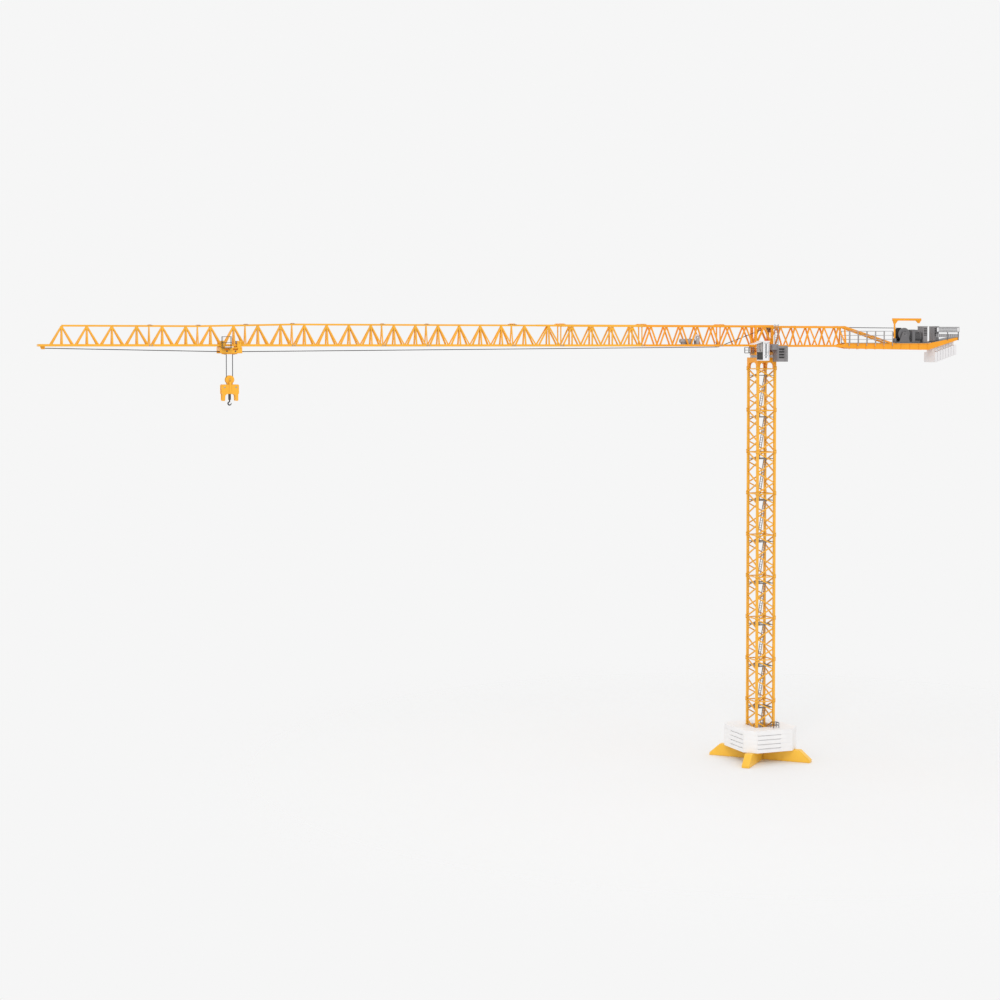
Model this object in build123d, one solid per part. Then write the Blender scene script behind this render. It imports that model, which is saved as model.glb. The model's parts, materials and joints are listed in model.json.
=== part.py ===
from build123d import *
import os
from math import asin, atan2, cos, degrees, hypot, sin

# Flat-top tower crane, a 1:87 display model. Millimetres. The origin is on the ground under the
# slewing axis, +Z is up, the jib runs along -X and the counter-jib along +X.

# ---- Driving dimensions ---------------------------------------------------------------------
# Base cross: box-girder arms on the two diagonals
ARM_RADIUS = 69.0
ARM_TOP_RADIUS = 55.0
ARM_WIDTH = 10.0
ARM_DEPTH = 15.8
ARM_TIP_DEPTH = 3.5
TIE_BOLT_RADIUS = 0.8
TIE_BOLT_HALF_LENGTH = 16.0

# Ballast: layers of two L-shaped slabs with chamfered corners
BALLAST_LAYERS = 5
BALLAST_PITCH = 5.8
BALLAST_HALF = 40.0
BALLAST_CUT = 14.0
BALLAST_BORE_HALF = 15.6
BALLAST_GROOVE_HEIGHT = 0.9
BALLAST_GROOVE_DEPTH = 2.0
BALLAST_GROOVE_SPAN = (-25.0, 9.0)
SLAB_GAP = 0.2

# Mast: square lattice sections
MAST_PITCH = 25.5
MAST_CHORD = 2.9
MAST_LACING = 1.5
SECTION_HEIGHT = 55.2
SECTION_COUNT = 9
MAST_START = 24.0
PLATFORM_RISE = 45.4
PLATFORM_THICKNESS = 0.8
RING_SUPPORT_HEIGHT = 14.2

# Slewing ring
RACE_OUTER = 15.0
RACE_BORE = 10.5
RACE_HEIGHT = 3.2
FLANGE_RADIUS = 15.5
FLANGE_HEIGHT = 2.4
RUNNING_CLEARANCE = 0.05
SLEW_BORE = 7.0

# Jib: bottom chords are the trolley's rails
CHORD_Z = 551.0
TOP_CHORD_Z = 576.2
TIP_CHORD_Z = 573.7
CHORD_Y = 5.6
CHORD_WIDTH = 2.6
CHORD_HEIGHT = 2.8
TOP_CHORD = 2.2
LACING_Y = 4.9
LACING = 1.7
FOOT_OFFSET = 1.9
HEAD_HALF = 14.0
BAY = 28.15
ROOT_END = 64.0
INNER_BAYS = 5
INNER_BAY = 22.4
TRANSITION_BAY = 32.1
TIP_BAY = 29.1
LONG_BAYS = 4
SHORT_BAYS = 2
JOINT_ALLOWANCE = 1.5
JIB_TIP = 946.5
TIE_INSET = 0.9

# Trolley and hook block, placed about their own centre line
TROLLEY_X = -721.1
WHEEL_RADIUS = 1.7
WHEEL_GAP = 0.05
WHEEL_BASE_HALF = 10.0
AXLE_RADIUS = 0.6
ROLLER_RADIUS = 1.6
ROLLER_Z = 541.8
FALL_HALF = 3.8
BLOCK_Z = 509.9
ROPE_RADIUS = 0.45
ROPE_GAP = 0.1

# Cab and the cabinet beside it
CAB_X, CAB_Y, CAB_Z = (-18.0, -8.8), (-36.6, -18.9), (531.0, 556.4)
CAB_WALL = 0.9
CAB_FRONT = ((-35.2, -20.3), (532.6, 554.6))
CAB_SIDE = ((-16.2, -11.8), (534.6, 553.8))
AWNING_REACH = 12.0
SIDE_CABINET = ((5.0, 21.0), (-33.0, -20.6), (529.6, 550.6))
JUNCTION_BOX = ((-2.0, 7.0), (-32.0, -22.0), (545.2, 552.8))

# Trolley winch
TROLLEY_DRUM_X = -97.0
TROLLEY_DRUM_Z = 561.2
TROLLEY_DRUM_RADIUS = 4.6

# Counter-jib
CJ_TOP_Z = 575.6
CJ_BOTTOM_Z = 550.4
CJ_Y = 8.5
CJ_LATTICE_END = 124.5
CJ_BAYS = 5
DECK_Z = 553.9
DECK_START = 118.0
DECK_END = 254.0
FLOOR_START = 127.0
TIE_END = 200.0
CJ_END = 302.7
REAR_FLOOR_START = 264.0
REAR_RISE = 14.0
REAR_TOP_RISE = 8.9
GIRDER_DEPTH = 8.9
FLOOR = 0.8
DRUM_X = 216.5
DRUM_Z = 566.3
DRUM_CORE = 7.0
FLANGE = 8.8
WINDING_RADIUS = 7.9
PULLEY_HEAD = (12.0, 572.2, 3.6)
PULLEY_GUIDE = (-66.0, 552.0, 3.1)
DAVIT_X = 202.0
DAVIT_Y = -5.6
DAVIT_RADIUS = 1.2
DAVIT_TOP = 588.0
DAVIT_REACH = 42.0
CABINET_TOP = 577.5
RAIL_SPAN = (128.0, 196.0)
RAIL_Y = 10.1
RAIL_LEVELS = (550.5, 570.7)
BANNER_START = 266.0
BANNER_LEVELS = (569.2, 576.5)
BANNER_BOX_LEVELS = (562.4, 567.0)
SLAB_COUNT = 8
SLAB_START = 262.0
SLAB_THICK = 4.0
SLAB_PITCH = 4.35
SLAB_LOW = 528.0
SLAB_SLOPE = 0.33
TIP_ANCHOR = (-938.45, 547.6)
TAPER = (643.3, 758.9)

# Derived levels and places
RING_SUPPORT_Z = MAST_START + SECTION_COUNT * SECTION_HEIGHT
RACE_Z = RING_SUPPORT_Z + RING_SUPPORT_HEIGHT
FLANGE_Z = RACE_Z + RACE_HEIGHT
TURNTABLE_Z = FLANGE_Z + FLANGE_HEIGHT
CHORD_TOP = CHORD_Z + CHORD_HEIGHT / 2
CHORD_BOTTOM = CHORD_Z - CHORD_HEIGHT / 2
MAST_HALF = MAST_PITCH / 2
MAST_OUTER = MAST_HALF + MAST_CHORD / 2
LONG, SHORT = (LONG_BAYS, BAY), (SHORT_BAYS, BAY)
SECTIONS = [(INNER_BAYS, INNER_BAY), LONG, (SHORT_BAYS, TRANSITION_BAY), LONG, SHORT, LONG, SHORT, SHORT, SHORT]
SPLICE_X = [ROOT_END]
for bay_count, bay_length in SECTIONS:
    SPLICE_X.append(SPLICE_X[-1] + bay_count * bay_length + JOINT_ALLOWANCE)


# ---- Helpers --------------------------------------------------------------------------------
def block(x, y, z):
    """A box from three (low, high) pairs."""
    size = [high - low for low, high in (x, y, z)]
    middle = [(low + high) / 2 for low, high in (x, y, z)]
    return Pos(*middle) * Box(*size)


def bar(start, end, width, height=None):
    """A straight bar; its width is level and its height is across it."""
    start, end = Vector(*start), Vector(*end)
    run = end - start
    level = run.cross(Vector(0, 0, 1))
    side = level if level.length > 1e-6 else Vector(1, 0, 0)
    plane = Plane(origin=(start + end) * 0.5, x_dir=side, z_dir=run)
    return plane.location * Box(width, height or width, run.length)


def upright(x, y, radius, low, high):
    return Pos(x, y, (low + high) / 2) * Cylinder(radius, high - low)


def across(x, z, radius, low, high):
    """A cylinder along Y."""
    return Pos(x, (low + high) / 2, z) * Rot(90, 0, 0) * Cylinder(radius, high - low)


def along(y, z, radius, low, high):
    """A cylinder along X."""
    return Pos((low + high) / 2, y, z) * Rot(0, 90, 0) * Cylinder(radius, high - low)


def side_plate(points, low, high):
    """A plate with an (x, z) outline, from y = low to y = high."""
    face = Plane.XZ * make_face(Polyline(*points, close=True))
    return Pos(0, high, 0) * extrude(face, high - low)


def fused(pieces):
    return Part() + pieces


def group(pieces):
    return Compound(children=[solid for piece in pieces for solid in piece.solids()])


def turned(piece, degrees_about_z):
    return Rot(0, 0, degrees_about_z) * piece


# ---- Base -----------------------------------------------------------------------------------
def arm_outline(inner):
    """Half an arm's side view, from radius inner to the tip."""
    return [(inner, 0), (ARM_RADIUS, 0), (ARM_RADIUS, ARM_TIP_DEPTH), (ARM_TOP_RADIUS, ARM_DEPTH),
            (inner, ARM_DEPTH)]


def tie_bolts():
    length = (-TIE_BOLT_HALF_LENGTH, TIE_BOLT_HALF_LENGTH)
    return [along(0, height, TIE_BOLT_RADIUS, *length) for height in (4.0, 11.5)]


def base_long_beam():
    tip = arm_outline(0)[1:-1]
    mirrored = [(-x, z) for x, z in reversed(tip)]
    beam = side_plate(tip + mirrored, -ARM_WIDTH / 2, ARM_WIDTH / 2)
    return turned(beam, 45) - [turned(bolt, -45) for bolt in tie_bolts()]


def base_half_beams():
    beam = side_plate(arm_outline(ARM_WIDTH / 2), -ARM_WIDTH / 2, ARM_WIDTH / 2) - tie_bolts()
    return group([turned(beam, -45), turned(beam, 135)])


def base_tie_bolts():
    return group([turned(bolt, -45) for bolt in tie_bolts()])


def ballast_layer(low):
    """Two L-shaped slabs, split on the diagonal that the half beams lie on."""
    half, flat = BALLAST_HALF, BALLAST_HALF - BALLAST_CUT
    outline = [(half, flat), (flat, half), (-flat, half), (-half, flat),
               (-half, -flat), (-flat, -half), (flat, -half), (half, -flat)]
    slab = extrude(make_face(Polyline(*outline, close=True)), BALLAST_PITCH)
    bore = (-BALLAST_BORE_HALF, BALLAST_BORE_HALF)
    slab -= block(bore, bore, (-1, BALLAST_PITCH + 1))
    groove_z = (BALLAST_PITCH - BALLAST_GROOVE_HEIGHT, BALLAST_PITCH + 1)
    groove = block(BALLAST_GROOVE_SPAN, (-half - 1, -half + BALLAST_GROOVE_DEPTH), groove_z)
    for piece in (groove, turned(groove, 180)):
        slab -= piece
        slab -= mirror(piece, Plane(origin=(0, 0, 0), z_dir=(1, -1, 0)))
    slab -= turned(block((-2 * half, 2 * half), (-SLAB_GAP / 2, SLAB_GAP / 2), (-1, 10)), -45)
    return Pos(0, 0, low) * slab


def ballast_slabs():
    return group([ballast_layer(ARM_DEPTH + k * BALLAST_PITCH) for k in range(BALLAST_LAYERS)])


# ---- Mast -----------------------------------------------------------------------------------
CORNERS = [(-1, 1), (-1, -1), (1, -1), (1, 1)]


def corner(k, z):
    x, y = CORNERS[k % 4]
    return (x * MAST_HALF, y * MAST_HALF, z)


def mast_foot():
    low, top = ARM_DEPTH, MAST_START
    pieces = []
    for k in range(4):
        x, y, _ = corner(k, 0)
        pieces.append(block((x - 2.4, x + 2.4), (y - 2.4, y + 2.4), (low, low + 1.6)))
        pieces.append(bar(corner(k, low), corner(k, top), MAST_CHORD))
        pieces.append(bar(corner(k, top - 2), corner(k + 1, top - 2), MAST_LACING))
    return fused(pieces)


def mast_section(base):
    """One section: its lacing zigzags four times up each face, and a level tie closes its top."""
    top = base + SECTION_HEIGHT
    quarter = SECTION_HEIGHT / 4
    steps = [base + 0.9, base + quarter, base + 2 * quarter, base + 3 * quarter, top - 1.4]
    pieces = []
    for k in range(4):
        pieces.append(bar(corner(k, base), corner(k, top), MAST_CHORD))
        pieces.append(bar(corner(k, top - 0.8), corner(k + 1, top - 0.8), MAST_LACING, 1.4))
        for j in range(4):
            near, far = corner(k + j % 2, steps[j]), corner(k + (j + 1) % 2, steps[j + 1])
            pieces.append(bar(near, far, MAST_LACING))
    return fused(pieces)


def mast_sections():
    first = mast_section(0)
    return group([Pos(0, 0, MAST_START + k * SECTION_HEIGHT) * first for k in range(SECTION_COUNT)])


def mast_fishplates():
    """Angle plates outside each corner at every joint of the mast."""
    inner, outer = MAST_OUTER, MAST_OUTER + 0.5
    plates = []
    for level in range(SECTION_COUNT + 1):
        z = MAST_START + level * SECTION_HEIGHT
        angle = block((outer - 3.2, outer), (outer - 3.2, outer), (z - 2.6, z + 2.6))
        angle -= block((0, inner), (0, inner), (z - 3, z + 3))
        plates += [turned(angle, 90 * k) for k in range(4)]
    return group(plates)


def mast_platforms():
    edge, notch, thick = MAST_HALF - MAST_LACING / 2, 1.1, PLATFORM_THICKNESS
    plate = block((-edge, edge), (-edge, edge), (0, thick))
    for x, y in CORNERS:
        cx, cy = x * edge, y * edge
        plate -= block((cx - notch, cx + notch), (cy - notch, cy + notch), (-1, 2))
    plate -= block((-3.0, 9.5), (-5.0, 5.0), (-1, 2))
    levels = [MAST_START + PLATFORM_RISE + k * SECTION_HEIGHT for k in range(SECTION_COUNT)]
    return group([Pos(0, 0, z) * plate for z in levels])


def ladder(bottom, top, width, pitch, side=(0, 1, 0)):
    """Two stiles and level rungs between two points of the ladder's middle line."""
    bottom, top, half = Vector(*bottom), Vector(*top), Vector(*side) * (width / 2)
    pieces = [bar(tuple(bottom + s * half), tuple(top + s * half), 0.7) for s in (-1, 1)]
    count = int((top - bottom).length / pitch)
    for k in range(count):
        middle = bottom + (top - bottom) * ((k + 0.5) / count)
        pieces.append(bar(tuple(middle - half), tuple(middle + half), 0.5))
    return fused(pieces)


def mast_ladders():
    """A leaning ladder from each platform up to the hatch of the next."""
    rise = SECTION_HEIGHT - PLATFORM_THICKNESS
    foot = MAST_START + PLATFORM_RISE - SECTION_HEIGHT + PLATFORM_THICKNESS
    lowest = ladder((-2.5, 0, ARM_DEPTH + 0.5), (5.5, 0, foot + rise - 0.4), 6, 3.2)
    rest = ladder((-4.5, 0, 0.4), (5.5, 0, rise - 0.4), 6, 3.2)
    return group([lowest] + [Pos(0, 0, foot + k * SECTION_HEIGHT) * rest for k in range(1, SECTION_COUNT)])


def ring_support():
    """Square head of the mast: a plated band over four arched openings."""
    low, high, out = RING_SUPPORT_Z, RACE_Z, (-MAST_OUTER, MAST_OUTER)
    core = (-MAST_OUTER + MAST_CHORD, MAST_OUTER - MAST_CHORD)
    body = block(out, out, (low, high)) - block(core, core, (low - 1, high - 1.6))
    arch = extrude(Plane.XZ * RectangleRounded(20.0, 15.0, 4.5), 20, both=True)
    body -= [Pos(0, 0, low) * turned(arch, angle) for angle in (0, 90)]
    return body - upright(0, 0, SLEW_BORE, low, high + 1)


# ---- Slewing ring and turntable -------------------------------------------------------------
def ring(outer, inner, low, high):
    return upright(0, 0, outer, low, high) - upright(0, 0, inner, low - 1, high + 1)


def slewing_ring_lower():
    return ring(RACE_OUTER, RACE_BORE, RACE_Z, FLANGE_Z)


def slewing_ring_upper():
    """Flange on top of the lower race, with a spigot that turns in its bore."""
    spigot = ring(RACE_BORE - RUNNING_CLEARANCE, SLEW_BORE, RACE_Z + 0.3, FLANGE_Z)
    return spigot + ring(FLANGE_RADIUS, SLEW_BORE, FLANGE_Z, TURNTABLE_Z)


def turntable():
    low, high = TURNTABLE_Z, CHORD_BOTTOM
    pieces = [ring(FLANGE_RADIUS, SLEW_BORE, low, low + 1.8)]
    for x in (-1, 1):
        for y in (-1, 1):
            pieces.append(bar((x * 9.5, y * 9.5, low + 0.5), (x * 11.8, y * 6.8, high - 1), 3.0))
        foot, head = (x * 9.5, 0, low + 1.0), (x * 11.8, 0, high - 1)
        pieces.append(bar(foot, head, 13.0, 1.4))
    frame = block((-HEAD_HALF, HEAD_HALF), (-9.8, 9.8), (high - 2.4, high))
    pieces.append(frame - block((-10.0, 10.0), (-5.0, 5.0), (high - 3, high + 1)))
    return fused(pieces)


def slewing_motors():
    low = TURNTABLE_Z + 1.8
    cans = [upright(0, y, 2.3, low, low + 4.7) + upright(0, y, 2.9, low, low + 1.4) for y in (-10.6, 10.6)]
    return group(cans)


def service_platform():
    """Small railed landing in front of the turntable."""
    x0, x1, y0, y1, low = -22.5, -15.6, -6.5, 6.5, TURNTABLE_Z
    pieces = [block((x0, -12.0), (y0, y1), (low, low + 0.9)) - upright(0, 0, FLANGE_RADIUS, low - 1, low + 2)]
    for x in (x0 + 0.4, x1 - 0.4):
        for y in (y0 + 0.4, y1 - 0.4):
            pieces.append(bar((x, y, low), (x, y, low + 8), 0.8))
    for z in (low + 4.2, low + 7.6):
        pieces.append(bar((x0 + 0.4, y0 + 0.4, z), (x0 + 0.4, y1 - 0.4, z), 0.7))
        pieces += [bar((x0 + 0.4, y, z), (x1 - 0.4, y, z), 0.7) for y in (y0 + 0.4, y1 - 0.4)]
    return fused(pieces)


# ---- Cab ------------------------------------------------------------------------------------
def cab_panes():
    front = block((CAB_X[0], CAB_X[0] + CAB_WALL), *CAB_FRONT)
    side = block(CAB_SIDE[0], (CAB_Y[0], CAB_Y[0] + CAB_WALL), CAB_SIDE[1])
    return [front, side]


def cab_shell():
    inner = [(low + CAB_WALL, high - CAB_WALL) for low, high in (CAB_X, CAB_Y, CAB_Z)]
    shell = block(CAB_X, CAB_Y, CAB_Z) - block(*inner) - cab_panes()
    bracket = block((-13.8, -9.6), (CAB_Y[1], -9.8), (CHORD_BOTTOM - 2.4, CHORD_BOTTOM))
    return shell + bracket


def cab_glass():
    return group(cab_panes())


def cab_seat():
    """Seat with its back, and the two control consoles beside it."""
    floor, back = CAB_Z[0] + CAB_WALL, CAB_X[1] - CAB_WALL - 0.3
    seat = block((back - 4.0, back), (-30.0, -26.0), (floor, floor + 4))
    seat += block((back - 0.9, back), (-30.0, -26.0), (floor + 3.9, floor + 10))
    consoles = [block((back - 6.2, back - 3.2), (y, y + 1.5), (floor, floor + 6)) for y in (-32.5, -25.0)]
    return group([seat, *consoles])


def cab_awning():
    """Sunshade that slopes down in front of the cab's roof."""
    front, back, y = CAB_X[0] - AWNING_REACH, CAB_X[0] - 0.1, sum(CAB_Y) / 2
    return bar((front, y, CAB_Z[1] - 4.0), (back, y, CAB_Z[1] - 0.8), 13.0, 0.7)


def electrical_cabinets():
    """The louvred cabinet beside the cab and two machinery cabinets on the deck."""
    beside_cab = block(*SIDE_CABINET) + block(*JUNCTION_BOX)
    beside_cab += block((6.0, 13.0), (SIDE_CABINET[1][1], -9.8), (CHORD_BOTTOM - 5.6, CHORD_BOTTOM - 3.2))
    beside_cab += block((6.0, 13.0), (-13.0, -9.8), (CHORD_BOTTOM - 3.3, CHORD_BOTTOM))
    on_deck = block((247.0, DECK_END), (-7.0, 7.0), (DECK_Z + FLOOR, CABINET_TOP))
    rear = (REAR_FLOOR_START + 1.0, REAR_FLOOR_START + 9.0)
    outline = [(x, rear_deck_z(x) + FLOOR) for x in rear] + [(x, CABINET_TOP) for x in reversed(rear)]
    return group([beside_cab, on_deck, side_plate(outline, -6.0, 6.0)])


# ---- Jib ------------------------------------------------------------------------------------
def chord(x0, x1, y, z, width, height):
    return block((min(x0, x1), max(x0, x1)), (y - width / 2, y + width / 2), (z - height / 2, z + height / 2))


def bottom_chords(x0, x1):
    return [chord(x0, x1, y, CHORD_Z, CHORD_WIDTH, CHORD_HEIGHT) for y in (-CHORD_Y, CHORD_Y)]


def top_chord_z(x):
    """Height of the top chord's axis; it falls over the taper to the shallower tip sections."""
    share = (abs(x) - TAPER[0]) / (TAPER[1] - TAPER[0])
    return TOP_CHORD_Z + (TIP_CHORD_Z - TOP_CHORD_Z) * min(max(share, 0), 1)


def single_top_chord(x0, x1):
    low, high = [[(x, top_chord_z(x) + side * TOP_CHORD / 2) for x in (x0, x1)] for side in (-1, 1)]
    return side_plate(low + high[::-1], -TOP_CHORD / 2, TOP_CHORD / 2)


def bottom_tie(x):
    return block((x - 0.7, x + 0.7), (-CHORD_Y, CHORD_Y), (CHORD_Z - 0.7, CHORD_Z + 0.7))


def bay_lacing(x, foot, top_y, post=True):
    """The lacing of one bay about its top node: two diagonals and a post on each side."""
    pieces = []
    for side in (-1, 1):
        node = (x, side * top_y, top_chord_z(x) - 0.5)
        for reach in (-foot, 0, foot) if post else (-foot, foot):
            pieces.append(bar((x + reach, side * LACING_Y, CHORD_TOP - 0.9), node, LACING))
    return pieces


def joint_posts(x, top_y):
    return [bar((x, side * LACING_Y, CHORD_TOP - 0.9), (x, side * top_y, top_chord_z(x)), 1.3)
            for side in (-1, 1)]


def section_nodes(number):
    """Where a section's bays have their top nodes."""
    bays, bay = SECTIONS[number]
    first = -SPLICE_X[number] - JOINT_ALLOWANCE / 2
    return [first - (k + 0.5) * bay for k in range(bays)]


def outer_section(number):
    """Triangular section with one top chord."""
    start, end = -SPLICE_X[number], -SPLICE_X[number + 1]
    pieces = bottom_chords(start, end)
    pieces.append(single_top_chord(start, end))
    for x in section_nodes(number):
        pieces += bay_lacing(x, BAY / 2 - FOOT_OFFSET, 0.3)
        pieces.append(bottom_tie(x))
    pieces += joint_posts(start - TIE_INSET, 0.3)
    return fused(pieces)


def inner_section(number, posts):
    """Box-shaped section with two top chords."""
    start, end, bay = -SPLICE_X[number], -SPLICE_X[number + 1], SECTIONS[number][1]
    pieces = bottom_chords(start, end)
    pieces += [chord(start, end, y, TOP_CHORD_Z, CHORD_WIDTH, CHORD_HEIGHT) for y in (-CHORD_Y, CHORD_Y)]
    tie_z = TOP_CHORD_Z + 0.4
    for x in section_nodes(number):
        pieces += bay_lacing(x, bay / 2 - FOOT_OFFSET, LACING_Y, posts)
        pieces.append(bottom_tie(x))
        pieces.append(bar((x, -CHORD_Y, tie_z), (x, CHORD_Y, tie_z), 1.4))
    pieces += joint_posts(start - TIE_INSET, LACING_Y)
    return fused(pieces)


def guide_pulley_bracket():
    """Two cheeks under the jib, each hung from a bottom chord."""
    x, z, _ = PULLEY_GUIDE
    outline = [(x - 3.5, z - 2.4), (x + 3.5, z - 2.4), (x + 2.2, z + 1.6), (x - 2.2, z + 1.6)]
    pieces = []
    for side in (-1, 1):
        pieces.append(side_plate(outline, *sorted((side * 1.7, side * 2.7))))
        arm_y = sorted((side * 1.7, side * 6.0))
        pieces.append(block((x + 2.1, x + 6.0), arm_y, (CHORD_BOTTOM, CHORD_BOTTOM + 1)))
    return pieces


def jib_root_section():
    """Joins the tower head to the first full section; no tie crosses the rope's way up."""
    start, end = -HEAD_HALF, -ROOT_END
    pieces = bottom_chords(start, end) + guide_pulley_bracket()
    pieces += [chord(start, end, y, TOP_CHORD_Z, CHORD_WIDTH, CHORD_HEIGHT) for y in (-CHORD_Y, CHORD_Y)]
    bay = (ROOT_END - HEAD_HALF) / 2
    for k in range(2):
        x = start - (k + 0.5) * bay
        for side in (-1, 1):
            for reach in (-1, 1):
                foot = (x + reach * (bay / 2 - FOOT_OFFSET), side * LACING_Y, CHORD_TOP - 0.9)
                pieces.append(bar(foot, (x, side * LACING_Y, TOP_CHORD_Z - 0.5), LACING))
        pieces.append(bar((x, -CHORD_Y, TOP_CHORD_Z), (x, CHORD_Y, TOP_CHORD_Z), 1.4))
    body = fused(pieces + [bottom_tie(-44.0), bottom_tie(-30.0)])
    x, z, _ = PULLEY_GUIDE
    return body - across(x, z, AXLE_RADIUS + RUNNING_CLEARANCE, -4, 4)


def jib_inner_section_1():
    return inner_section(0, posts=False)


def jib_inner_section_2():
    return inner_section(1, posts=True)


def jib_transition_section():
    """Two top chords run together into one."""
    start, end = -SPLICE_X[2], -SPLICE_X[3]
    meeting = start - TRANSITION_BAY
    within = block((end, start), (-8, 8), (TOP_CHORD_Z - 5, TOP_CHORD_Z + 5))
    pieces = bottom_chords(start, end)
    for side in (-1, 1):
        pieces.append(bar((start, side * CHORD_Y, TOP_CHORD_Z), (meeting, 0, TOP_CHORD_Z), 2.4) & within)
    pieces.append(single_top_chord(meeting + 2, end))
    for x, top_y in zip(section_nodes(2), (CHORD_Y / 2, 0.3)):
        pieces += bay_lacing(x, TRANSITION_BAY / 2 - FOOT_OFFSET, top_y)
        pieces.append(bottom_tie(x))
    pieces += joint_posts(start - TIE_INSET, CHORD_Y - 0.5)
    return fused(pieces)


def jib_long_sections():
    return group([outer_section(number) for number in (3, 5)])


def jib_short_sections():
    return group([outer_section(number) for number in (4, 6, 7, 8)])


def jib_tip_section():
    """Last section: its top chord ends over the last node, and a lug under it holds the rope's end."""
    start, end = -SPLICE_X[9], -JIB_TIP
    nodes = [start - JOINT_ALLOWANCE / 2 - (k + 0.5) * TIP_BAY for k in range(4)]
    pieces = bottom_chords(start, end)
    pieces.append(single_top_chord(start, nodes[-1]))
    for x in nodes:
        pieces += bay_lacing(x, TIP_BAY / 2 - FOOT_OFFSET, 0.3)
        pieces.append(bottom_tie(x))
    pieces.append(block((end, end + 2), (-CHORD_Y, CHORD_Y), (CHORD_BOTTOM, CHORD_TOP)))
    rope_end, low = TIP_ANCHOR[0] - 0.05, TIP_ANCHOR[1] - 1.2
    lug = [(rope_end - 6, CHORD_Z), (rope_end, CHORD_Z), (rope_end, low), (rope_end - 4, low)]
    pieces.append(side_plate(lug, -1.2, 1.2))
    pieces.append(block((rope_end - 6, rope_end + 2), (-CHORD_Y, CHORD_Y), (CHORD_Z - 0.7, CHORD_Z + 0.7)))
    pieces += joint_posts(start - TIE_INSET, 0.3)
    return fused(pieces)


def jib_splices():
    """Swollen splice plates over the top chords at every joint of the jib."""
    plates = []
    for number, distance in enumerate(SPLICE_X):
        single = number > 2
        half = (TOP_CHORD if single else CHORD_HEIGHT) / 2
        foot = [(x - distance, top_chord_z(x - distance) + half) for x in (-7, 0, 7)]
        outline = foot + [(x - distance, foot[1][1] + 1.3) for x in (3, -3)]
        rows = (0,) if single else (-CHORD_Y, CHORD_Y)
        plates += [side_plate(outline, y - 1.1, y + 1.1) for y in rows]
    return group(plates)


# ---- Tower head -----------------------------------------------------------------------------
def tower_head():
    low, high = CHORD_BOTTOM, TOP_CHORD_Z + 1.8
    pieces = []
    for y in (-CHORD_Y, CHORD_Y):
        for x in (-12.2, 12.2):
            pieces.append(bar((x, y, low), (x, y, high), 3.0))
        pieces.append(block((-HEAD_HALF, HEAD_HALF), (y - 1.5, y + 1.5), (high - 3.4, high)))
        pieces.append(block((-HEAD_HALF, HEAD_HALF), (y - 1.5, y + 1.5), (low, low + 3)))
        pieces.append(bar((-12, y, low + 2), (0, y, high - 2), 2.2))
        pieces.append(bar((12, y, low + 2), (0, y, high - 2), 2.2))
    for x in (-12.2, 3.0):
        pieces.append(bar((x, -CHORD_Y, high - 1.6), (x, CHORD_Y, high - 1.6), 2.0))
    pieces.append(bar((-12.2, -CHORD_Y, low + 1.5), (-12.2, CHORD_Y, low + 1.5), 2.0))
    pieces.append(bar((12.2, -CHORD_Y, low + 1.5), (12.2, CHORD_Y, low + 1.5), 2.0))
    x, z, _ = PULLEY_HEAD
    return fused(pieces) - across(x, z, AXLE_RADIUS + RUNNING_CLEARANCE, -8, 8)


def head_ladder():
    foot, head = (16.5, -10.15, TURNTABLE_Z + 0.4), (16.5, -10.15, TOP_CHORD_Z + 2.8)
    return ladder(foot, head, 5.0, 3.0, side=(1, 0, 0))


# ---- Counter-jib ----------------------------------------------------------------------------
def counter_jib_front():
    start, end = HEAD_HALF, CJ_LATTICE_END
    bay = (end - start) / CJ_BAYS
    above_deck = block((start, end), (-20, 20), (DECK_Z, CJ_TOP_Z + 5))
    pieces = []
    for side in (-1, 1):
        top_y, low_y = side * CHORD_Y, side * CJ_Y
        pieces.append(bar((start, top_y, TOP_CHORD_Z - 2), (start + 12, top_y, CJ_TOP_Z), 2.8))
        pieces[-1] &= block((start, end), (-20, 20), (CJ_TOP_Z - 10, CJ_TOP_Z + 10))
        pieces.append(chord(start + 10, end, top_y, CJ_TOP_Z, CHORD_WIDTH, CHORD_HEIGHT))
        pieces.append(chord(start, DECK_START, low_y, CJ_BOTTOM_Z, CHORD_WIDTH, CHORD_HEIGHT))
        for k in range(CJ_BAYS):
            x = start + (k + 0.5) * bay
            for reach in (-1, 1):
                foot = x + reach * (bay / 2 - 1.2)
                on_deck = foot > DECK_START
                low = DECK_Z - 1 if on_deck else CJ_BOTTOM_Z
                strut = bar((foot, low_y, low), (x, top_y, CJ_TOP_Z), LACING)
                pieces.append(strut & above_deck if on_deck else strut)
        pieces.append(bar((end - 1, low_y, DECK_Z - 1), (end - 1, top_y, CJ_TOP_Z), LACING) & above_deck)
    for x in (start + 1.5, 47.0, 80.0, 113.0):
        pieces.append(bar((x, -CJ_Y, CJ_BOTTOM_Z), (x, CJ_Y, CJ_BOTTOM_Z), 1.6))
    for x in (47.0, 80.0, 113.0, end - 1):
        pieces.append(block((x - 0.8, x + 0.8), (-CHORD_Y, CHORD_Y), (CJ_TOP_Z + 0.8, CJ_TOP_Z + 1.6)))
    return fused(pieces)


def rear_deck_z(x):
    """Top of the rear girders at x."""
    return DECK_Z + REAR_TOP_RISE * (x - DECK_END) / (CJ_END - DECK_END)


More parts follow.
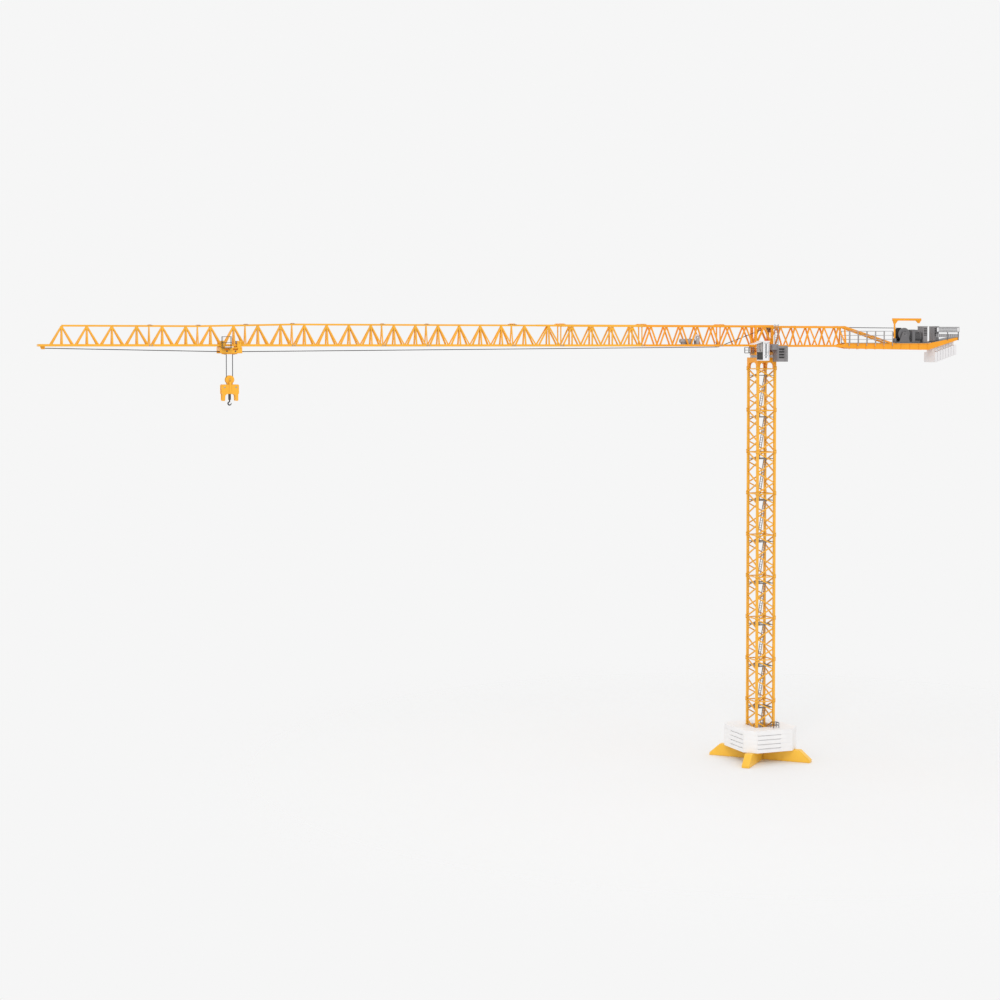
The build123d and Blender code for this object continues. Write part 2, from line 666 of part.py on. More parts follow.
def counter_jib_girders():
    """Plate girders of the machinery deck, with the raised rear and the upper ties."""
    low, rear_low, rear_top = DECK_Z - GIRDER_DEPTH, DECK_Z - GIRDER_DEPTH + REAR_RISE, rear_deck_z(CJ_END)
    outline = [(DECK_START, CJ_BOTTOM_Z - 1.4), (131, low + 1.7), (DECK_END, low),
               (CJ_END, rear_low), (CJ_END, rear_top), (DECK_END, DECK_Z), (DECK_START + 5, DECK_Z),
               (DECK_START, CJ_BOTTOM_Z + 1.4)]
    pieces = []
    for side in (-1, 1):
        y = side * CJ_Y
        pieces.append(side_plate(outline, y - 1.2, y + 1.2))
        tie = bar((CJ_LATTICE_END, side * CHORD_Y, CJ_TOP_Z), (TIE_END, y, DECK_Z - 1), 2.2)
        pieces.append(tie - block((100, CJ_LATTICE_END), (-20, 20), (500, 600)))
    for x in (135.0, 160.0, 185.0, 210.0, 235.0):
        pieces.append(bar((x, -CJ_Y, DECK_Z - 3), (x, CJ_Y, DECK_Z - 3), 2.0))
    pieces.append(bar((256.0, -CJ_Y, DECK_Z - 4), (256.0, CJ_Y, DECK_Z - 4), 2.4))
    pieces.append(block((CJ_END - 2, CJ_END), (-CJ_Y, CJ_Y), (rear_low, rear_deck_z(CJ_END - 2))))
    return fused(pieces)


def counter_jib_floor():
    """Flat floor plate with slots for the ties, and the sloping plate at the rear."""
    slot_x, slot_z = (TIE_END - 18, TIE_END + 4), (DECK_Z - 1, DECK_Z + 2)
    slots = [block(slot_x, sorted((side * 5.1, side * 9.9)), slot_z) for side in (-1, 1)]
    flat = block((FLOOR_START, DECK_END), (-9.7, 9.7), (DECK_Z, DECK_Z + FLOOR)) - slots
    ends = (REAR_FLOOR_START, CJ_END)
    rear = [(x, rear_deck_z(x)) for x in ends] + [(x, rear_deck_z(x) + FLOOR) for x in reversed(ends)]
    return group([flat, side_plate(rear, -9.7, 9.7)])


def handrail(x0, x1, y, low, top, count):
    """Posts and three rails in one plane."""
    pieces = []
    for k in range(count):
        x = x0 + (x1 - x0) * k / (count - 1)
        pieces.append(block((x - 0.4, x + 0.4), (y - 0.4, y + 0.4), (low, top)))
    for share in (0.45, 0.72, 1.0):
        z = low + (top - low) * share
        pieces.append(block((x0 - 0.4, x1 + 0.4), (y - 0.35, y + 0.35), (z - 0.7, z)))
    return fused(pieces)


def deck_handrails():
    return group([handrail(*RAIL_SPAN, side * RAIL_Y, *RAIL_LEVELS, 6) for side in (-1, 1)])


def banner_panel():
    """Blank name board on posts at the rear of the deck."""
    pieces = [block((BANNER_START, CJ_END), (-11.0, -10.2), BANNER_LEVELS)]
    for x in (BANNER_START + 1, (BANNER_START + CJ_END) / 2, CJ_END - 1):
        pieces.append(block((x - 0.6, x + 0.6), (-10.4, -9.7), (rear_deck_z(x) - 3.0, BANNER_LEVELS[1] - 3.5)))
    pieces.append(block((BANNER_START, CJ_END), (-10.3, -9.7), BANNER_BOX_LEVELS))
    return fused(pieces)


def counterweights():
    """Inverted-T slabs that hang between the rear girders, stepping up along them."""
    slabs = []
    for k in range(SLAB_COUNT):
        x0, low = SLAB_START + k * SLAB_PITCH, SLAB_LOW + SLAB_SLOPE * k * SLAB_PITCH
        wide = block((x0, x0 + SLAB_THICK), (-13.5, 13.5), (low, low + 14))
        slabs.append(wide + block((x0, x0 + SLAB_THICK), (-6.8, 6.8), (low + 13, rear_deck_z(x0) - 0.3)))
    return group(slabs)


def hoist_winch_frame():
    """Bed frame, two bearing plates of the hoist drum, and the davit's socket."""
    low = DECK_Z + FLOOR
    bed = block((DAVIT_X - 3.5, DRUM_X + 10.5), (-9.2, 9.2), (low, low + 1.2))
    bed -= block((DRUM_X - 9.5, DRUM_X + 9.5), (-7.6, 7.6), (low, low + 2))
    pieces = [bed, upright(DAVIT_X, DAVIT_Y, 2.6, low, low + 6)]
    outline = [(DRUM_X - 8.5, low), (DRUM_X + 8.5, low), (DRUM_X + 3.5, DRUM_Z + 3), (DRUM_X - 3.5, DRUM_Z + 3)]
    bore = across(DRUM_X, DRUM_Z, 1.5 + RUNNING_CLEARANCE, -12, 12)
    pieces += [side_plate(outline, y - 0.7, y + 0.7) for y in (-8.3, 8.3)]
    socket = upright(DAVIT_X, DAVIT_Y, DAVIT_RADIUS + RUNNING_CLEARANCE, low + 0.6, low + 7)
    return fused(pieces) - bore - socket


def hoist_motor():
    """Gearbox, motor body and brake of the hoist winch."""
    low = DECK_Z + FLOOR
    start, join, end = DRUM_X + 12.5, DRUM_X + 17.0, DRUM_X + 28.0
    gearbox = block((start, join), (-8.0, 8.0), (low, low + 18))
    motor = along(0, low + 8.2, 6.4, join, end) + block((join + 1, end - 1), (-5, 5), (low, low + 3))
    return fused([gearbox, motor])


# ---- Winches and pulleys --------------------------------------------------------------------
def hoist_drum():
    core = across(DRUM_X, DRUM_Z, DRUM_CORE, -7.0, 7.0)
    flanges = [across(DRUM_X, DRUM_Z, FLANGE, *sorted((side * 6.2, side * 7.2))) for side in (-1, 1)]
    return fused([core, *flanges, across(DRUM_X, DRUM_Z, 1.5, -9.6, 9.6)])


def hoist_rope_winding():
    tube = across(DRUM_X, DRUM_Z, WINDING_RADIUS, -6.2, 6.2)
    return tube - across(DRUM_X, DRUM_Z, DRUM_CORE, -8, 8)


def pulley(x, z, pitch_radius, half_width, axle, axle_half, y=0.0):
    """Grooved wheel on a Y axis whose rope runs at pitch_radius."""
    floor = pitch_radius - ROPE_RADIUS - ROPE_GAP
    rim = pitch_radius + 0.5
    outline = [(0, -half_width), (rim, -half_width), (floor, -ROPE_RADIUS - 0.05), (floor, ROPE_RADIUS + 0.05),
               (rim, half_width), (0, half_width)]
    wheel = revolve(make_face(Polyline(*outline, close=True)), Axis.Y, 360)
    return Pos(x, y, z) * wheel + across(x, z, axle, y - axle_half, y + axle_half)


def head_pulley():
    x, z, radius = PULLEY_HEAD
    return pulley(x, z, radius, 1.3, AXLE_RADIUS, 6.8)


def guide_pulley():
    x, z, radius = PULLEY_GUIDE
    return pulley(x, z, radius, 1.2, AXLE_RADIUS, 2.9)


def trolley_drum():
    x, z = TROLLEY_DRUM_X, TROLLEY_DRUM_Z
    flanges = [across(x, z, TROLLEY_DRUM_RADIUS, *sorted((side * 1.9, side * 2.5))) for side in (-1, 1)]
    return fused([across(x, z, 3.4, -2.2, 2.2), *flanges, across(x, z, 0.9, -3.7, 3.7)])


def trolley_winch_frame():
    """Bed, bearing plates and motor of the trolley winch, between the jib's bottom chords."""
    x, z, low = TROLLEY_DRUM_X, TROLLEY_DRUM_Z, CHORD_Z + 0.7
    pieces = [block((x - 28, x + 7), (-3.9, 3.9), (low, low + 0.9))]
    pieces += [block((x - 2, x + 2), sorted((side * 2.9, side * 3.8)), (low, z + 2)) for side in (-1, 1)]
    pieces.append(block((x - 14, x - 7), (-3.0, 3.0), (low, low + 8)))
    pieces.append(along(0, low + 5.2, 2.8, x - 24, x - 14))
    pieces.append(block((x - 22, x - 16), (-2, 2), (low, low + 3)))
    return fused(pieces) - across(x, z, 0.9 + RUNNING_CLEARANCE, -5, 5)


# ---- Davit ----------------------------------------------------------------------------------
def davit():
    x, y, low = DAVIT_X, DAVIT_Y, DECK_Z + FLOOR
    top, end = DAVIT_TOP, x + DAVIT_REACH
    pieces = [upright(x, y, DAVIT_RADIUS, low + 0.6, top - 0.6)]
    pieces.append(block((x - 3.2, end), (y - 1.2, y + 1.2), (top - 3.2, top)))
    brace = [(x - 3.2, top - 2.6), (x + 5.5, top - 2.6), (x, top - 9), (x - 1.0, top - 8)]
    pieces.append(side_plate(brace, y - 0.7, y + 0.7))
    crook = [(end - 9, top - 2.6), (end, top - 2.6), (end - 2.5, top - 6.6), (end - 4.5, top - 6.6)]
    pieces.append(side_plate(crook, y - 0.7, y + 0.7))
    return fused(pieces)


# ---- Trolley --------------------------------------------------------------------------------
WHEEL_Z = CHORD_TOP + WHEEL_RADIUS + WHEEL_GAP
ROLLER_HALF = FALL_HALF + ROLLER_RADIUS


def trolley_frame():
    """Side plates with wheel ears and windows, cross plates, and cheeks for the rope rollers."""
    x, low, top = TROLLEY_X, CHORD_BOTTOM - 8.2, CHORD_BOTTOM - 0.9
    pieces = []
    for side in (-1, 1):
        y = sorted((side * 8.0, side * 9.2))
        plate = block((x - 13.4, x + 13.4), y, (low, top))
        for reach in (-1, 1):
            ear = x + reach * WHEEL_BASE_HALF
            plate += block((ear - 2.6, ear + 2.6), y, (top - 1, WHEEL_Z + 2.2))
            plate -= block((x + reach * 5 - 3, x + reach * 5 + 3), y, (top - 3.6, top - 1.4))
        pieces.append(plate)
        cheek_y = sorted((side * 1.7, side * 2.7))
        pieces.append(block((x - 9, x + 9), cheek_y, (ROLLER_Z - 1.4, top)))
    for reach in (-1, 1):
        pieces.append(block(sorted((x + reach * 12.2, x + reach * 13.4)), (-8.5, 8.5), (low + 2.8, top)))
    pieces.append(block((x - 9, x + 9), (-8.5, 8.5), (top - 1.2, top)))
    cuts = [across(x + reach * WHEEL_BASE_HALF, WHEEL_Z, AXLE_RADIUS + RUNNING_CLEARANCE, -12, 12)
            for reach in (-1, 1)]
    cuts += [across(x + reach * ROLLER_HALF, ROLLER_Z, 0.5 + RUNNING_CLEARANCE, -4, 4) for reach in (-1, 1)]
    return fused(pieces) - cuts


def trolley_basket():
    """Railed maintenance basket on the trolley's near side."""
    x0, x1, y0, y1, low = TROLLEY_X - 12, TROLLEY_X + 2, -15.0, -9.2, 547.6
    top, middle = 561.6, 554.6
    pieces = [block((x0, x1), (y0, y1), (low, low + 0.8))]
    for x in (x0 + 0.4, x1 - 0.4):
        pieces += [bar((x, y, low), (x, y, top), 0.8) for y in (y0 + 0.4, y1 - 0.4)]
        pieces += [bar((x, y0 + 0.4, z), (x, y1 - 0.4, z), 0.7) for z in (middle, top - 0.4)]
    pieces += [bar((x0 + 0.4, y0 + 0.4, z), (x1 - 0.4, y0 + 0.4, z), 0.7) for z in (middle, top - 0.4)]
    return fused(pieces)


def trolley_wheels(reach):
    x = TROLLEY_X + reach * WHEEL_BASE_HALF
    wheels = []
    for side in (-1, 1):
        tread = across(x, WHEEL_Z, WHEEL_RADIUS, *sorted((side * 6.2, side * 7.1)))
        rim = across(x, WHEEL_Z, WHEEL_RADIUS + 0.5, *sorted((side * 7.1, side * 7.7)))
        wheels.append(fused([tread, rim, across(x, WHEEL_Z, AXLE_RADIUS, *sorted((side * 6.2, side * 9.4)))]))
    return group(wheels)


def trolley_wheels_outer():
    return trolley_wheels(-1)


def trolley_wheels_inner():
    return trolley_wheels(1)


def rope_roller_outer():
    return pulley(TROLLEY_X - ROLLER_HALF, ROLLER_Z, ROLLER_RADIUS, 1.1, 0.5, 3.0)


def rope_roller_inner():
    return pulley(TROLLEY_X + ROLLER_HALF, ROLLER_Z, ROLLER_RADIUS, 1.1, 0.5, 3.0)


# ---- Hook block -----------------------------------------------------------------------------
def hook_block_frame():
    """Two cheeks about the sheave, joined below it by a neck."""
    x, z = TROLLEY_X, BLOCK_Z
    pieces = []
    for side in (-1, 1):
        y = sorted((side * 1.7, side * 2.6))
        pieces.append(across(x, z, 5.3, *y))
        pieces.append(block((x - 3.4, x + 3.4), y, (z - 11.0, z)))
    pieces.append(block((x - 3.4, x + 3.4), (-2.6, 2.6), (z - 11.0, z - 5.4)))
    body = fused(pieces) - across(x, z, 0.8 + RUNNING_CLEARANCE, -4, 4)
    return body - upright(x, 0, 0.9, z - 12, z - 7)


def block_sheave():
    return pulley(TROLLEY_X, BLOCK_Z, FALL_HALF, 1.2, 0.8, 3.2)


def spreader_plates():
    """Two plates outside the cheeks, each with a pair of prongs, and the bolts through them."""
    x, z, plates = TROLLEY_X, BLOCK_Z, []
    for side in (-1, 1):
        y = sorted((side * 2.6, side * 4.4))
        plate = block((x - 10.5, x + 10.5), y, (z - 17.0, z - 5.6))
        for reach in (-1, 1):
            plate += block(sorted((x + reach * 6.2, x + reach * 9.6)), y, (z - 25.2, z - 16.0))
        plates.append(plate)
    bolts = [across(x + reach * 7.0, z - 9.0, 1.0, -4.9, 4.9) for reach in (-1, 1)]
    return fused(plates + bolts)


def hook_swivel():
    x, z = TROLLEY_X, BLOCK_Z
    return fused([upright(x, 0, 0.85, z - 19, z - 7.4), upright(x, 0, 1.6, z - 24, z - 11.2)])


def hook():
    """Forged hook: a shank, a round bowl and a tip."""
    x, z, bowl, wire = TROLLEY_X, BLOCK_Z - 28.3, 1.9, 0.75
    ring_arc = Pos(x, 0, z) * Rot(90, 0, 0) * Rot(0, 0, 90) * Torus(bowl, wire, major_angle=270)
    neck = upright(x, 0, 0.8, z + bowl - 0.1, BLOCK_Z - 24)
    tip = Pos(x + bowl, 0, z) * Sphere(wire)
    return fused([ring_arc, neck, tip])


# ---- Hoist rope -----------------------------------------------------------------------------
def tube(path):
    start = path.position_at(0)
    profile = Plane(origin=start, z_dir=path.tangent_at(0)) * Circle(ROPE_RADIUS)
    return sweep(profile, path=path)


def rope_run(start, end):
    (x0, z0), (x1, z1) = start, end
    length, angle = hypot(x1 - x0, z1 - z0), degrees(atan2(z0 - z1, x1 - x0))
    middle = Pos((x0 + x1) / 2, 0, (z0 + z1) / 2)
    return middle * Rot(0, 90 + angle, 0) * Cylinder(ROPE_RADIUS, length)


def rope_level_top():
    return ROLLER_Z + ROLLER_RADIUS


def hoist_rope_outer_run():
    return rope_run(TIP_ANCHOR, (TROLLEY_X - ROLLER_HALF, rope_level_top()))


def hoist_rope_inner_run():
    x, z, radius = PULLEY_GUIDE
    return rope_run((TROLLEY_X + ROLLER_HALF, rope_level_top()), (x, z - radius))


def hoist_rope_falls():
    """Over one roller, down, round the block's sheave, up, and over the other roller."""
    x, top, r = TROLLEY_X, ROLLER_Z, ROLLER_RADIUS
    left, right = x - FALL_HALF, x + FALL_HALF
    half = 0.7071

    def at(px, pz):
        return (px, 0, pz)

    outer, inner = x - ROLLER_HALF, x + ROLLER_HALF
    path = Wire([
        ThreePointArc(at(outer, top + r), at(outer + half * r, top + half * r), at(left, top)),
        Line(at(left, top), at(left, BLOCK_Z)),
        ThreePointArc(at(left, BLOCK_Z), at(x, BLOCK_Z - FALL_HALF), at(right, BLOCK_Z)),
        Line(at(right, BLOCK_Z), at(right, top)),
        ThreePointArc(at(right, top), at(inner - half * r, top + half * r), at(inner, top + r)),
    ])
    return tube(path)


def hoist_rope_lead():
    """From the guide pulley up over the head pulley and back to the top of the drum."""
    gx, gz, gr = PULLEY_GUIDE
    hx, hz, hr = PULLEY_HEAD
    span = hypot(hx - gx, hz - gz)
    climb = atan2(hz - gz, hx - gx) + asin((gr + hr) / span)
    wound = WINDING_RADIUS + ROPE_RADIUS + ROPE_GAP
    fall = asin((hr - wound) / hypot(DRUM_X - hx, DRUM_Z - hz)) + atan2(hz - DRUM_Z, DRUM_X - hx)

    def under(angle):
        return (gx + gr * sin(angle), 0, gz - gr * cos(angle))

    def over(angle):
        return (hx + hr * sin(angle), 0, hz + hr * cos(angle))

    drum = (DRUM_X + wound * sin(fall), 0, DRUM_Z + wound * cos(fall))
    path = Wire([
        ThreePointArc(under(0), under(climb / 2), under(climb)),
        Line(under(climb), over(-climb)),
        ThreePointArc(over(-climb), over((fall - climb) / 2), over(fall)),
        Line(over(fall), drum),
    ])
    return tube(path)


NODES = [
    base_long_beam, base_half_beams, base_tie_bolts, ballast_slabs,
    mast_foot, mast_sections, mast_fishplates, mast_platforms, mast_ladders, ring_support,
    slewing_ring_lower, slewing_ring_upper, turntable, slewing_motors, service_platform,
    cab_shell, cab_glass, cab_seat, cab_awning, electrical_cabinets, tower_head, head_ladder,
    jib_root_section, jib_inner_section_1, jib_inner_section_2, jib_transition_section,
    jib_long_sections, jib_short_sections, jib_tip_section, jib_splices,
    counter_jib_front, counter_jib_girders, counter_jib_floor, deck_handrails, banner_panel,
    counterweights, hoist_winch_frame, hoist_motor, hoist_drum, hoist_rope_winding,
    head_pulley, guide_pulley, trolley_winch_frame, trolley_drum,
    davit, trolley_frame, trolley_basket, trolley_wheels_outer,
    trolley_wheels_inner, rope_roller_outer, rope_roller_inner, hook_block_frame, block_sheave,
    spreader_plates, hook_swivel, hook, hoist_rope_outer_run, hoist_rope_inner_run,
    hoist_rope_falls, hoist_rope_lead,
]

os.makedirs("parts", exist_ok=True)
for make in NODES:
    export_step(make(), f"parts/{make.__name__}.step")
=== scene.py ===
import bmesh
import bpy
import json
from math import cos, pi, radians, sin
from mathutils import Matrix, Vector


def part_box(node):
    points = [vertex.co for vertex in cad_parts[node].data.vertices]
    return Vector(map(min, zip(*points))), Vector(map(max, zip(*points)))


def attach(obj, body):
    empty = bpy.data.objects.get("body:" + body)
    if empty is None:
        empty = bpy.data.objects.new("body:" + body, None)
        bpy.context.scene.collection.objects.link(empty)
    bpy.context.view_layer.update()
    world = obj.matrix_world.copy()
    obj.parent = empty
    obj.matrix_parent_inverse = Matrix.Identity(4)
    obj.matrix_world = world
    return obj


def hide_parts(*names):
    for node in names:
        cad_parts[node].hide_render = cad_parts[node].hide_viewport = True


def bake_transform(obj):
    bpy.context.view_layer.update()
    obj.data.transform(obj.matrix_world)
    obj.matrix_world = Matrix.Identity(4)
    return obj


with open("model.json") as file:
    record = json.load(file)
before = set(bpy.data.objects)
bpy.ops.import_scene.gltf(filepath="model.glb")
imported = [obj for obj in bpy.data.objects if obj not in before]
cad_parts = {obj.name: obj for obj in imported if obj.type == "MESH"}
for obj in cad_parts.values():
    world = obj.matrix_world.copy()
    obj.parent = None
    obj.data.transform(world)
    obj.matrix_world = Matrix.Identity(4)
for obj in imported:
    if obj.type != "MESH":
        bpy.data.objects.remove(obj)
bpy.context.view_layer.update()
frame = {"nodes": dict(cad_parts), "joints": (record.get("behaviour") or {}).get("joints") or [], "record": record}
scene = bpy.context.scene
nodes = frame["nodes"]
record = frame["record"]
MM = 0.001
WELD = 0.002 * MM


# ---- Places read from the frame -------------------------------------------------------------
JOINTS = {joint["name"]: joint for joint in frame["joints"]}


def pivot(joint):
    return Vector(JOINTS[joint]["pos_m"])


def solid_boxes(node):
    """The (lowest, highest) corners of each separate solid of a node, ordered along X."""
    mesh = bmesh.new()
    mesh.from_mesh(nodes[node].data)
    bmesh.ops.remove_doubles(mesh, verts=mesh.verts, dist=WELD)
    found, left = [], set(mesh.verts)
    while left:
        island, edge = set(), [left.pop()]
        while edge:
            vert = edge.pop()
            island.add(vert)
            edge += [near for link in vert.link_edges for near in link.verts if near in left]
            left.difference_update(edge)
        corners = [vert.co for vert in island]
        found.append(tuple(Vector(pick(co[k] for co in corners) for k in range(3)) for pick in (min, max)))
    mesh.free()
    return sorted(found, key=lambda box: tuple(box[0]))


RAIL_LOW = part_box("jib_long_sections")[0][2]
MAST_SECTIONS = 9
CHORD_FACE = 6.9 * MM
TROLLEY_X = pivot("block_sheave_spin").x
SHEAVE_Z = pivot("block_sheave_spin").z


# ---- Camera, light and floor ----------------------------------------------------------------
SENSOR = 36
LENS = 71.6328
LENS_SHIFT = -0.0937881
YAW, PITCH = 0.3773, -0.03
EYE = Vector((-1.2962, -2.3281, RAIL_LOW))
BACKDROP = 0.922
LIT_POINT = Vector((0, 0, 0.3))
LIGHTS = (  # name, place, size and power
    ("key_light", (-1.6, -2.4, 2.6), 1.2, 24),
    ("rim_light", (0.8, 2.2, 2.4), 2.0, 5),
)
FLOOR_REACH = 3.0
FLOOR_DROP = 0.05 * MM
FLOOR_FADE = (0.25, 0.9)


def make_camera():
    data = bpy.data.cameras.new("camera")
    camera = bpy.data.objects.new("camera", data)
    scene.collection.objects.link(camera)
    scene.camera = camera
    data.sensor_width = SENSOR
    data.lens = LENS
    data.clip_end = 30
    data.shift_y = LENS_SHIFT
    look = Vector((sin(YAW) * cos(PITCH), cos(YAW) * cos(PITCH), sin(PITCH)))
    camera.location = EYE
    camera.rotation_euler = look.to_track_quat("-Z", "Y").to_euler()


def make_lights():
    world = bpy.data.worlds.new("studio")
    scene.world = world
    world.use_nodes = True
    background = world.node_tree.nodes["Background"]
    background.inputs["Color"].default_value = (BACKDROP, BACKDROP, BACKDROP, 1)
    for name, place, size, power in LIGHTS:
        data = bpy.data.lights.new(name, "AREA")
        data.size = size
        data.energy = power
        lamp = bpy.data.objects.new(name, data)
        scene.collection.objects.link(lamp)
        lamp.location = place
        lamp.rotation_euler = (LIT_POINT - lamp.location).to_track_quat("-Z", "Y").to_euler()


# ---- Materials ------------------------------------------------------------------------------
class Shader:
    """A Principled material with short calls for the nodes that feed it."""

    def __init__(self, name, **values):
        self.material = bpy.data.materials.new(name)
        self.material.use_nodes = True
        self.tree = self.material.node_tree
        self.shader = self.tree.nodes["Principled BSDF"]
        for key, value in values.items():
            self.shader.inputs[key.replace("_", " ")].default_value = value
        self.place = self.node("ShaderNodeTexCoord").outputs["Object"]

    def node(self, kind, inputs=None, **settings):
        made = self.tree.nodes.new(kind)
        for key, value in settings.items():
            setattr(made, key, value)
        for key, value in (inputs or {}).items():
            if hasattr(value, "node"):
                self.tree.links.new(value, made.inputs[key])
            else:
                made.inputs[key].default_value = value
        return made

    def noise(self, scale, detail=3.0, vector=None, rough=0.55):
        ports = {"Vector": vector or self.place, "Scale": scale, "Detail": detail, "Roughness": rough}
        return self.node("ShaderNodeTexNoise", ports).outputs["Fac"]

    def ramp(self, value, *stops):
        made = self.node("ShaderNodeValToRGB", {"Fac": value})
        points = made.color_ramp.elements
        while len(points) < len(stops):
            points.new(0.5)
        for point, (place, colour) in zip(points, stops):
            point.position = place
            point.color = (*colour, 1) if isinstance(colour, tuple) else (colour, colour, colour, 1)
        return made.outputs["Color"]

    def mix(self, share, first, second, blend="MIX"):
        made = self.node("ShaderNodeMix", data_type="RGBA", blend_type=blend)
        for index, value in ((0, share), (6, first), (7, second)):
            if hasattr(value, "node"):
                self.tree.links.new(value, made.inputs[index])
            else:
                made.inputs[index].default_value = value
        return made.outputs[2]

    def span(self, value, low, high):
        ports = {"Value": value, "From Min": 0.3, "From Max": 0.7, "To Min": low, "To Max": high}
        return self.node("ShaderNodeMapRange", ports).outputs["Result"]

    def bump(self, height, distance, strength=1.0, normal=None):
        ports = {"Height": height, "Distance": distance, "Strength": strength}
        if normal:
            ports["Normal"] = normal
        return self.node("ShaderNodeBump", ports).outputs["Normal"]

    def worn_and_lit_edges(self, radius):
        """Near 1 on edges and 0 on flats, with the rounded normal for the bump to start from."""
        rounded = self.node("ShaderNodeBevel", {"Radius": radius}, samples=6).outputs["Normal"]
        flat = self.node("ShaderNodeNewGeometry").outputs["Normal"]
        match = self.node("ShaderNodeVectorMath", {0: rounded, 1: flat}, operation="DOT_PRODUCT")
        return self.ramp(match.outputs["Value"], (0.72, 1.0), (0.985, 0.0)), rounded

    def set(self, **sockets):
        for key, value in sockets.items():
            self.tree.links.new(value, self.shader.inputs[key.replace("_", " ")])
        return self.material


def shade(colour, factor):
    return tuple(min(1, part * factor) for part in colour)


def enamel(name, colour, rough=0.36, edge=1.2, crevice_shade=0.75, coat=0.08):
    """Sprayed enamel on die-cast metal: cloudy colour, orange peel, softened edges lightened as rubbed wear and a
    painted highlight, and painted shade in crevices.
    """
    made = Shader(name, Coat_Weight=coat, Coat_Roughness=0.18, Specular_IOR_Level=0.32)
    cloud = made.ramp(made.noise(38, 4), (0.3, shade(colour, 0.93)), (0.7, shade(colour, 1.04)))
    edges, rounded = made.worn_and_lit_edges(0.35 * MM)
    patchy = made.mix(1.0, edges, made.ramp(made.noise(420, 2), (0.42, 0.15), (0.62, 0.9)), "MULTIPLY")
    # Ambient occlusion darkens the colour in crevices and corners: painted shade.
    occlusion_shade = made.node("ShaderNodeAmbientOcclusion", {"Distance": 3.0 * MM}, samples=6).outputs["AO"]
    shaded_cloud = made.mix(made.ramp(occlusion_shade, (0.25, 0.75), (0.85, 0.0)), cloud, (*shade(colour, crevice_shade), 1))
    # Patchy edges lighter by the edge factor: rubbed wear and a painted highlight.
    base = made.mix(patchy, shaded_cloud, (*shade(colour, edge), 1))
    peel = made.bump(made.noise(2600, 2), 0.02 * MM, 0.5, rounded)
    gloss = made.span(made.noise(160, 3), rough - 0.07, rough + 0.09)
    return made.set(Base_Color=base, Roughness=gloss, Normal=peel)


def metal(name, colour, rough=0.3, streak=(900, 900, 60), metallic=0.9):
    """Turned or plated metal with fine streaks and duller patches."""
    made = Shader(name, Metallic=metallic)
    stretched = made.node("ShaderNodeMapping", {"Vector": made.place, "Scale": streak}).outputs["Vector"]
    streaks = made.noise(1.0, 3, stretched)
    base = made.ramp(made.noise(240, 4), (0.3, shade(colour, 0.72)), (0.7, shade(colour, 1.15)))
    edges, rounded = made.worn_and_lit_edges(0.2 * MM)
    # Edges lighter: worn bright metal and a painted highlight.
    base = made.mix(edges, base, (*shade(colour, 1.6), 1))
    peel = made.bump(streaks, 0.015 * MM, 0.6, rounded)
    return made.set(Base_Color=base, Roughness=made.span(streaks, rough - 0.08, rough + 0.16), Normal=peel)


def plastic(name, colour, rough=0.5):
    """Moulded black or grey plastic with a fine grain."""
    made = Shader(name, Specular_IOR_Level=0.4)
    base = made.ramp(made.noise(120, 4), (0.3, shade(colour, 0.8)), (0.7, shade(colour, 1.35)))
    edges, rounded = made.worn_and_lit_edges(0.2 * MM)
    # Edges much lighter: scuffing and a painted highlight.
    base = made.mix(edges, base, (*shade(colour, 2.2), 1))
    grain = made.bump(made.noise(3800, 2), 0.02 * MM, 0.7, rounded)
    gloss = made.span(made.noise(300, 3), rough - 0.08, rough + 0.12)
    return made.set(Base_Color=base, Roughness=gloss, Normal=grain)


def grating(name, colour):
    """Etched tread plate: a raised lattice of bars over a darker ground."""
    made = Shader(name, Metallic=0.35)
    bars = []
    for turn in (pi / 4, -pi / 4):
        turned = made.node("ShaderNodeMapping", {"Vector": made.place, "Rotation": (0, 0, turn)})
        ports = {"Vector": turned.outputs["Vector"], "Scale": 190.0, "Distortion": 0.0}
        bars.append(made.node("ShaderNodeTexWave", ports, bands_direction="X").outputs["Fac"])
    lattice = made.mix(1.0, bars[0], bars[1], "LIGHTEN")
    base = made.ramp(lattice, (0.55, shade(colour, 0.35)), (0.8, colour))
    base = made.mix(made.ramp(made.noise(150, 4), (0.35, 0.0), (0.75, 0.3)), base, (*shade(colour, 1.5), 1))
    return made.set(Base_Color=base, Roughness=made.span(made.noise(200, 3), 0.4, 0.6),
                    Normal=made.bump(lattice, 0.15 * MM, 0.8))


def cordage(name, colour):
    """Laid cord: strands wind along the tube's own coordinates."""
    made = Shader(name, Specular_IOR_Level=0.25)
    along = made.node("ShaderNodeUVMap", uv_map="lay").outputs["UV"]
    leaning = made.node("ShaderNodeMapping", {"Vector": along, "Rotation": (0, 0, 0.6)}).outputs["Vector"]
    strands = made.node("ShaderNodeTexWave", {"Vector": leaning, "Scale": 1.3, "Distortion": 0.4},
                        bands_direction="X").outputs["Fac"]
    fuzz = made.noise(2400, 3)
    base = made.ramp(strands, (0.1, shade(colour, 0.35)), (0.75, shade(colour, 1.3)))
    base = made.mix(made.ramp(fuzz, (0.45, 0.0), (0.75, 0.35)), base, (*shade(colour, 1.6), 1))
    return made.set(Base_Color=base, Roughness=made.span(fuzz, 0.65, 0.9),
                    Normal=made.bump(strands, 0.12 * MM, 0.8))


def glazing(name):
    """Smoked clear plastic panes with faint streaks."""
    made = Shader(name, Transmission_Weight=0.75, IOR=1.46, Specular_IOR_Level=0.6)
    smear = made.noise(90, 4)
    base = made.ramp(smear, (0.3, (0.30, 0.33, 0.35)), (0.7, (0.42, 0.45, 0.47)))
    return made.set(Base_Color=base, Roughness=made.span(smear, 0.04, 0.16),
                    Normal=made.bump(smear, 0.01 * MM, 0.4))


